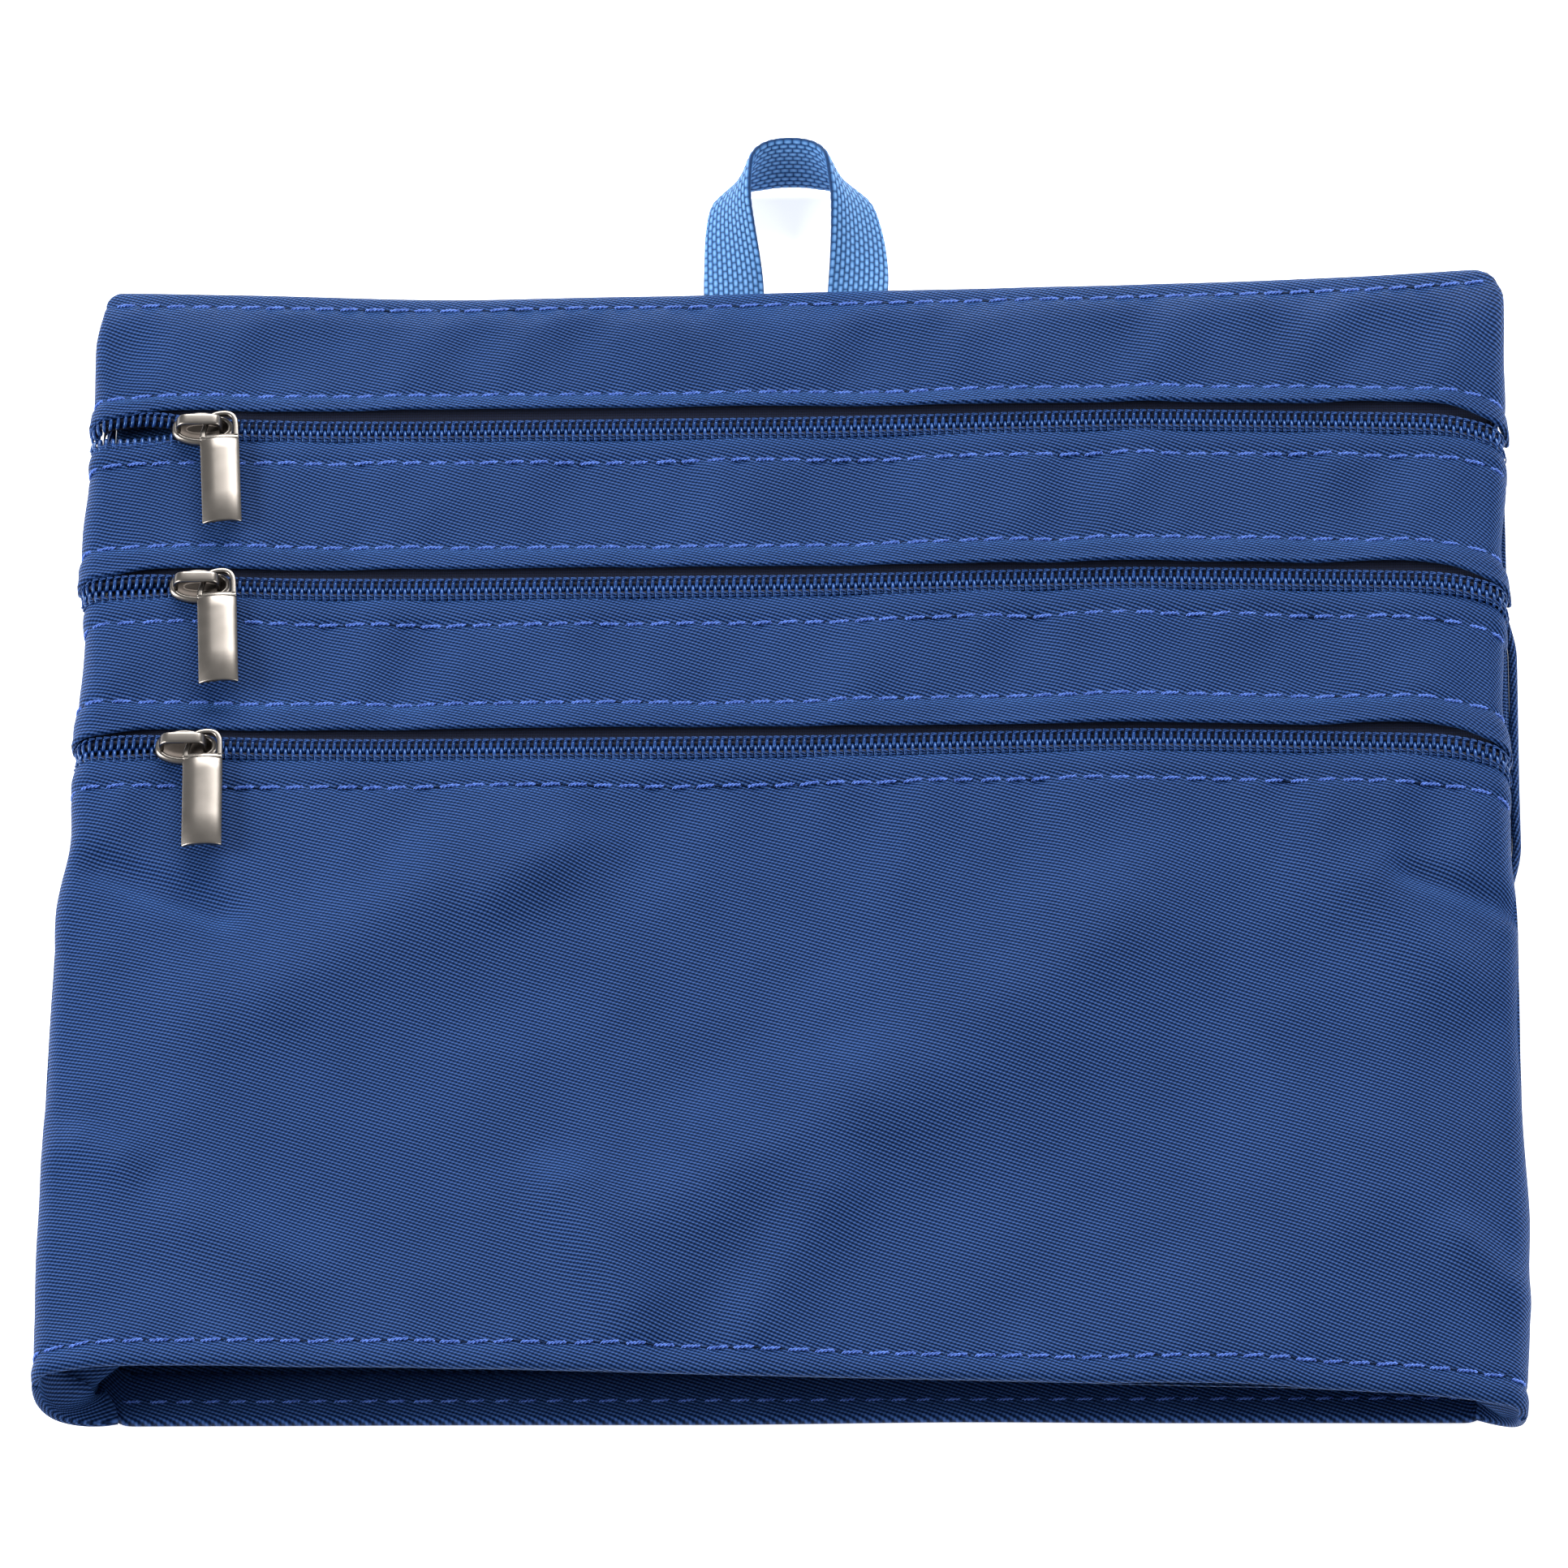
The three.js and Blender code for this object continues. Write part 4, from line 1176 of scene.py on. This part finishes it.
def slider_outline(angle):
    """The plate's oval, narrower towards the closed end."""
    x = 5.3 * np.cos(angle) - 0.1
    half = 3.45 - 0.55 * smooth(x, -1.2, 5.2) - 0.1 * smooth(-x, 1.2, 5.4)
    return x, half * blunt(np.sin(angle), 0.8)


def slider_plate(low):
    """The top plate: an oval with a rounded rim round a sunken floor, closed underneath."""
    angle = np.linspace(0, 2 * math.pi, 73)[:-1]
    x, y = slider_outline(angle)
    rings = [(share * x, share * y, low + 0 * x) for share in (0.3, 0.96)]
    for inward, height in metal_profile:
        shrink = 1 - inward
        rings.append((x * (1 - inward * 0.62), y * shrink, low + 0.02 + height + 0 * x))
    return np.array([np.stack(ring, -1) for ring in rings])


def slider_block(x_low, x_high, half, h_low, h_high, taper=0.25, steps=26):
    """A rounded plate between two heights, its outline a stadium."""
    angle = np.linspace(0, 2 * math.pi, 2 * steps + 1)[:-1]
    x = (x_low + x_high) / 2 + (x_high - x_low) / 2 * blunt(np.cos(angle), 0.7)
    y = half * blunt(np.sin(angle), 0.7)
    middle = (x_low + x_high) / 2
    rings = []
    for drop, height in ((taper, h_low), (0, h_low + taper), (0, h_high - taper), (taper, h_high)):
        ring_x = middle + (x - middle) * (1 - drop / (x_high - middle))
        rings.append(np.stack([ring_x, y * (1 - drop / half), height + 0 * x], -1))
    return np.array(rings)


def ribbon(path, widths, thickness, corner=0.5):
    """A bar of rounded rectangular section along (x, h) points, across y."""
    path = np.asarray(path, float)
    ahead = np.gradient(path, axis=0)
    ahead /= np.linalg.norm(ahead, axis=1, keepdims=True)
    side = np.stack([-ahead[:, 1], ahead[:, 0]], -1)
    turn = np.linspace(0, 2 * math.pi, 25)[:-1]
    across = blunt(np.cos(turn), corner)
    thick = blunt(np.sin(turn), corner) * thickness / 2
    x = path[:, 0, None] + side[:, 0, None] * thick
    h = path[:, 1, None] + side[:, 1, None] * thick
    y = np.asarray(widths)[:, None] / 2 * across
    return np.stack([x, y, h], -1)


def curve_through(points, count):
    """A smooth line through a few points."""
    points = np.asarray(points, float)
    steps = np.concatenate([[0], np.cumsum(np.linalg.norm(np.diff(points, axis=0), axis=1))])
    wanted = np.linspace(0, steps[-1], count)
    padded = np.vstack([2 * points[0] - points[1], points, 2 * points[-1] - points[-2]])
    index = np.clip(np.searchsorted(steps, wanted, "right") - 1, 0, len(points) - 2)
    u = ((wanted - steps[index]) / (steps[index + 1] - steps[index]))[:, None]
    a, b, c, d = (padded[index + k] for k in range(4))
    return 0.5 * (2 * b + (c - a) * u + (2 * a - 5 * b + 4 * c - d) * u**2 + (3 * b - a - 3 * c + d) * u**3)


def place_on_slider(points, n, swing=0.0):
    """World places of points in mm about slider n's middle: x along, y towards the seam, z out."""
    slider_x = PIVOTS[n - 1][0] - LEG_X
    local = np.asarray(points, float)
    return to_world(slider_x + local[..., 0], ZIP_S[n - 1] - local[..., 1], FACE + local[..., 2])


LEG_X = 2.8  # from the slider's middle to the leg that its pull turns round
LEAN = {1: 4.5, 2: 4.0, 3: 2.5}  # degrees that each pull swings from square to its zipper


def slider(n):
    """The slider: its top plate, the bridge over it, the bottom plate and the post between."""
    rings = slider_plate(0.45)
    plate = tube_object("part", place_on_slider(rings, n)[None])
    plate.data.materials.append(NICKEL)
    # The sunken floor takes the darker nickel as painted shade; the rim and the rest take the plain nickel.
    plate.data.materials.append(SHADED_RECESS_NICKEL)
    sides, floor_ring = rings.shape[1], 2 + RIM_POINTS
    for polygon in plate.data.polygons:
        ring = polygon.index // sides
        inside = floor_ring <= ring < len(rings) - 1 or polygon.index == len(plate.data.polygons) - 1
        polygon.material_index = 1 if inside else 0
    parts = [plate]
    bar = curve_through([(-4.1, 0.95), (-4.25, 2.2), (-3.9, 3.05), (-3.0, 3.55), (-0.6, 3.62), (1.9, 3.55),
                         (2.75, 3.1), (3.0, 2.3), (3.05, 0.95)], 44)
    widths = 1.9 + 0.25 * np.sin(np.linspace(0, math.pi, 44)) ** 2
    parts.append(tube_object("part", place_on_slider(ribbon(bar, widths, 0.62), n)[None]))
    lower = slider_block(-5.3, 5.1, 3.1, -3.1, -2.4)
    parts.append(tube_object("part", place_on_slider(lower, n)[None]))
    post = slider_block(-4.9, -2.6, 0.42, -2.5, 0.6, taper=0.05)
    parts.append(tube_object("part", place_on_slider(post, n)[None]))
    for part in parts[1:]:
        part.data.materials.append(NICKEL)
    obj = joined(f"slider_{n}_shell", *parts)
    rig.ride(obj, f"slider_{n}")
    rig.replaces(obj, f"slider_{n}_body")
    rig.slot(obj, "nickel")


TAB_HALF = 3.35
# Cross-sections of the tab: place down it and the scale that rounds its ends.
TAB_SECTIONS = ((-21.3, 0.93), (-21.25, 0.97), (-21.1, 1.0), (-15, 1.0), (-10, 1.0), (-6, 1.0), (-3.75, 1.0),
                (-3.6, 0.98))


def pull(n):
    """The pull: a long crowned tab under a flat ring that the slider's bar passes through."""
    parts = []
    rise = math.tan(math.radians(2.8))
    base = 2.15
    lean = math.radians(LEAN[n])

    def lifted(points):
        points = np.array(points, float)
        x = points[..., 0] * math.cos(lean) - points[..., 1] * math.sin(lean)
        y = points[..., 0] * math.sin(lean) + points[..., 1] * math.cos(lean)
        return place_on_slider(np.stack([x + LEG_X, y, points[..., 2] + base - rise * y], -1), n)

    turn = np.linspace(0, 2 * math.pi, 65)[:-1]
    across = TAB_HALF * blunt(np.cos(turn), 0.55)
    thick = 0.36 * blunt(np.sin(turn), 0.55)
    sections = []
    for y, scale in TAB_SECTIONS:
        x = across * (scale if y < -10 else 1.0)
        crown = 0.75 * (1 - (x / TAB_HALF) ** 2)
        sections.append(np.stack([x, y + 0 * x, crown + thick * scale ** 6], -1))
    parts.append(tube_object("part", lifted(sections)[None]))
    ring = curve_through([(2.85, -2.9), (2.88, -1.0), (2.75, 0.6), (2.15, 1.7), (1.0, 2.15), (-0.5, 2.0),
                          (-1.6, 1.3), (-2.2, 0.1), (-2.7, -1.7), (-2.85, -3.1)], 60)
    ahead = np.gradient(ring, axis=0)
    ahead /= np.linalg.norm(ahead, axis=1, keepdims=True)
    side = np.stack([-ahead[:, 1], ahead[:, 0]], -1)
    half = np.interp(np.arange(60), [0, 8, 20, 40, 50, 59], [0.5, 0.46, 0.46, 0.42, 0.42, 0.55])[:, None]
    loop_turn = np.linspace(0, 2 * math.pi, 21)[:-1]
    wide = half * blunt(np.cos(loop_turn), 0.6)
    tall = 0.48 * blunt(np.sin(loop_turn), 0.6)
    flat = ring[:, None] + side[:, None] * wide[..., None]
    points = np.concatenate([flat, (0 * wide + tall[None])[..., None]], -1)
    parts.append(tube_object("part", lifted(points)[None]))
    bar = slider_block(-TAB_HALF, TAB_HALF, 0.75, -0.42, 0.42, taper=0.12)
    bar[..., 1] -= 3.15
    parts.append(tube_object("part", lifted(bar)[None]))
    return joined(f"slider_{n}_tab", *parts)


for n in ZIPS:
    slider(n)
    dress(pull(n), NICKEL, f"pull_{n}", [f"slider_{n}_pull"], "nickel")


# ---- Hanging loop: webbing that leaves the seam flat, twists and stands on edge at its top ----
LOOP_X = (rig.box("hanging_loop")[0].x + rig.box("hanging_loop")[1].x) / 2 / MM
LOOP_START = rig.box("hanging_loop")[0].y / MM
WEBBING_WIDE = 10.4
WEBBING_THICK = 1.2
FLOAT_LONG = 1.5  # length of one float of the weave
FLOAT_COLUMNS = 12
# Half of the webbing's two edges: x from the loop's middle, y from its start, z over the ground.
LOOP_OUTER = [(15.8, -3.2, 2.0), (15.8, 0, 2.0), (15.9, 6.5, 1.4), (15.3, 13.4, 1.2), (13.6, 18.8, 1.2),
              (9.4, 21.8, 1.2), (3.5, 22.7, 1.2), (0, 22.8, 1.2)]
LOOP_INNER = [(5.5, -3.2, 2.0), (5.6, 0, 2.2), (5.9, 5.0, 4.6), (6.5, 11.1, 7.1), (7.0, 16.6, 9.1),
              (6.9, 21.2, 10.0), (6.0, 23.9, 10.3), (3.6, 25.8, 10.5), (0, 26.4, 10.6)]


def loop_edge(half):
    """The whole edge, from the left leg over the top, which leans a little to the left."""
    half = np.array(half, float)
    edge = curve_through(np.vstack([half * (-1, 1, 1), half[-2::-1]]), 900)
    lean = -0.3 - 1.2 * smooth(edge[:, 1], 2, 24)
    return edge + np.stack([LOOP_X + lean, LOOP_START + 0 * lean, 0 * lean], -1)


def hanging_loop():
    """A band of webbing between the two edges, with its weave raised on both faces."""
    outer = loop_edge(LOOP_OUTER)
    inner = loop_edge(LOOP_INNER)
    centre = (outer + inner) / 2
    inward = inner - outer
    inward /= np.linalg.norm(inward, axis=1, keepdims=True)
    ahead = np.gradient(centre, axis=0)
    along = np.cumsum(np.linalg.norm(ahead, axis=1))[:, None]
    normal = np.cross(ahead, inward)
    normal /= np.linalg.norm(normal, axis=1, keepdims=True)
    u = np.linspace(0, 2 * math.pi, 97)[:-1]
    wide = blunt(np.cos(u), 0.28) * WEBBING_WIDE / 2
    thick = blunt(np.sin(u), 0.5) * WEBBING_THICK / 2
    columns = (wide / WEBBING_WIDE + 0.5) * FLOAT_COLUMNS
    floats = along / FLOAT_LONG + 0.5 * (np.floor(columns) % 2)
    bump = np.abs(np.sin(math.pi * floats)) ** 0.6 * np.abs(np.sin(math.pi * columns)) ** 0.5
    thick = thick + np.sign(thick) * (0.20 * bump - 0.1) * (np.abs(thick) > 0.2)
    points = centre[:, None] + inward[:, None] * wide[:, None] + normal[:, None] * thick[..., None]
    uv = np.stack([columns + 0 * along, along / FLOAT_LONG + 0 * columns], -1)
    return tube_object("webbing_loop", MM * points[None], uv)


loop = dress(hanging_loop(), WEBBING, None, ["hanging_loop"], "webbing")
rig.blend(loop, "root", "loop", start=(0, LOOP_START * MM - 0.002, 0), end=(0, LOOP_START * MM + 0.004, 0))

# ---- Cloth facts: each sheet's cut size, (width, length) in metres ----
def pieces(*names):
    return [bpy.data.objects[name] for name in names]


FACE_WIDE = 2 * HALF * MM + 0.012
for name, tapes in (
    ("face_top_band", ["tape_1_upper"]),
    ("face_upper_band", ["tape_1_lower", "tape_2_upper"]),
    ("face_middle_band", ["tape_2_lower", "tape_3_upper"]),
    ("face_lower_panel", ["tape_3_lower"]),
):
    low, high = Vector(panels[name].bound_box[0]), Vector(panels[name].bound_box[6])
    tall = (high.y - low.y) / NORMAL[2] + 0.009
    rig.sheet(panels[name], flat=(FACE_WIDE, tall), held="stretched", with_pieces=pieces(*tapes))
back_pieces = pieces("back_hem", "seam_allowance", "left_ridge", "right_ridge")
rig.sheet(*pieces("back_cloth"), flat=(0.242, 0.219), held="stretched", with_pieces=back_pieces)
for name, tall in (("divider_front", 0.1385), ("divider_rear", 0.171), ("sleeve_wall", 0.2064)):
    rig.sheet(*pieces(name), flat=(0.2376, tall), held="stretched")
for side in ("left", "right"):
    for number in range(1, GUSSET_PARTS + 1):
        tapered = {"flat": (0.012, 0.0265), "area": 0.000185}
        cut = tapered if number == 1 else {"flat": (0.024, 0.0265)}
        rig.sheet(*pieces(f"{side}_gusset_{number}"), held="stretched", **cut)
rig.sheet(loop, flat=(WEBBING_WIDE * MM, 0.074), held="folded")

# ---- Floor, light and camera ----
bpy.ops.mesh.primitive_plane_add(size=8)
floor = bpy.context.object
floor.name = "floor"
paper = Nodes("pale floor")
paper.set(Base_Color=(0.88, 0.88, 0.88), Roughness=0.9)
paper.set(Emission_Color=(1.0, 1.0, 1.0), Emission_Strength=0.68)
floor.data.materials.append(paper.material)
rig.stage(floor)

world = bpy.data.worlds.new("studio")
bpy.context.scene.world = world
world.use_nodes = True
world.node_tree.nodes["Background"].inputs["Color"].default_value = (0.95, 0.97, 1.0, 1)
world.node_tree.nodes["Background"].inputs["Strength"].default_value = 0.38
bpy.context.scene.view_settings.view_transform = "Standard"


def soft_light(name, place, aim, size, power):
    """A rectangular studio light that faces aim."""
    data = bpy.data.lights.new(name, "AREA")
    data.shape = "RECTANGLE"
    data.size, data.size_y = size
    data.energy = power
    light = bpy.data.objects.new(name, data)
    light.location = place
    light.rotation_euler = (Vector(aim) - Vector(place)).to_track_quat("-Z", "Y").to_euler()
    bpy.context.scene.collection.objects.link(light)


soft_light("key", (0.25, 2.2, 1.35), (0, 0, 0), (2.2, 0.9), 80)
soft_light("left fill", (-1.0, -0.1, 0.5), (0, 0, 0), (0.5, 0.8), 17)
soft_light("right fill", (1.0, -0.1, 0.5), (0, 0, 0), (0.5, 0.8), 9)

ELEVATION = math.radians(60)
AZIMUTH = math.radians(5.03)
ROLL = math.radians(-4.69)
DISTANCE = 1.682
TARGET = Vector((-0.0019, -0.00655, 0.008))
level_out = math.cos(ELEVATION)
back = Vector((math.sin(AZIMUTH) * level_out, -math.cos(AZIMUTH) * level_out, math.sin(ELEVATION)))
right = (-back).cross(Vector((0, 0, 1))).normalized()
up = right.cross(-back)
rolled_right = right * math.cos(ROLL) + up * math.sin(ROLL)
rolled_up = -right * math.sin(ROLL) + up * math.cos(ROLL)
camera_data = bpy.data.cameras.new("camera")
camera_data.lens = 231.1
camera_data.sensor_width = 36
camera_data.clip_end = 20
camera = bpy.data.objects.new("camera", camera_data)
rotation = Matrix((rolled_right, rolled_up, back)).transposed().to_4x4()
camera.matrix_world = Matrix.Translation(TARGET + back * DISTANCE) @ rotation
bpy.context.scene.collection.objects.link(camera)
bpy.context.scene.camera = camera

# ---- Sizes of the CAD box and of the finished pieces ----
bpy.context.view_layer.update()
boxes = {"cad": cad_box, "visual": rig.bounds()}
with open("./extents.json", "w") as file:
    json.dump({name: [list(corner) for corner in box] for name, box in boxes.items()}, file)
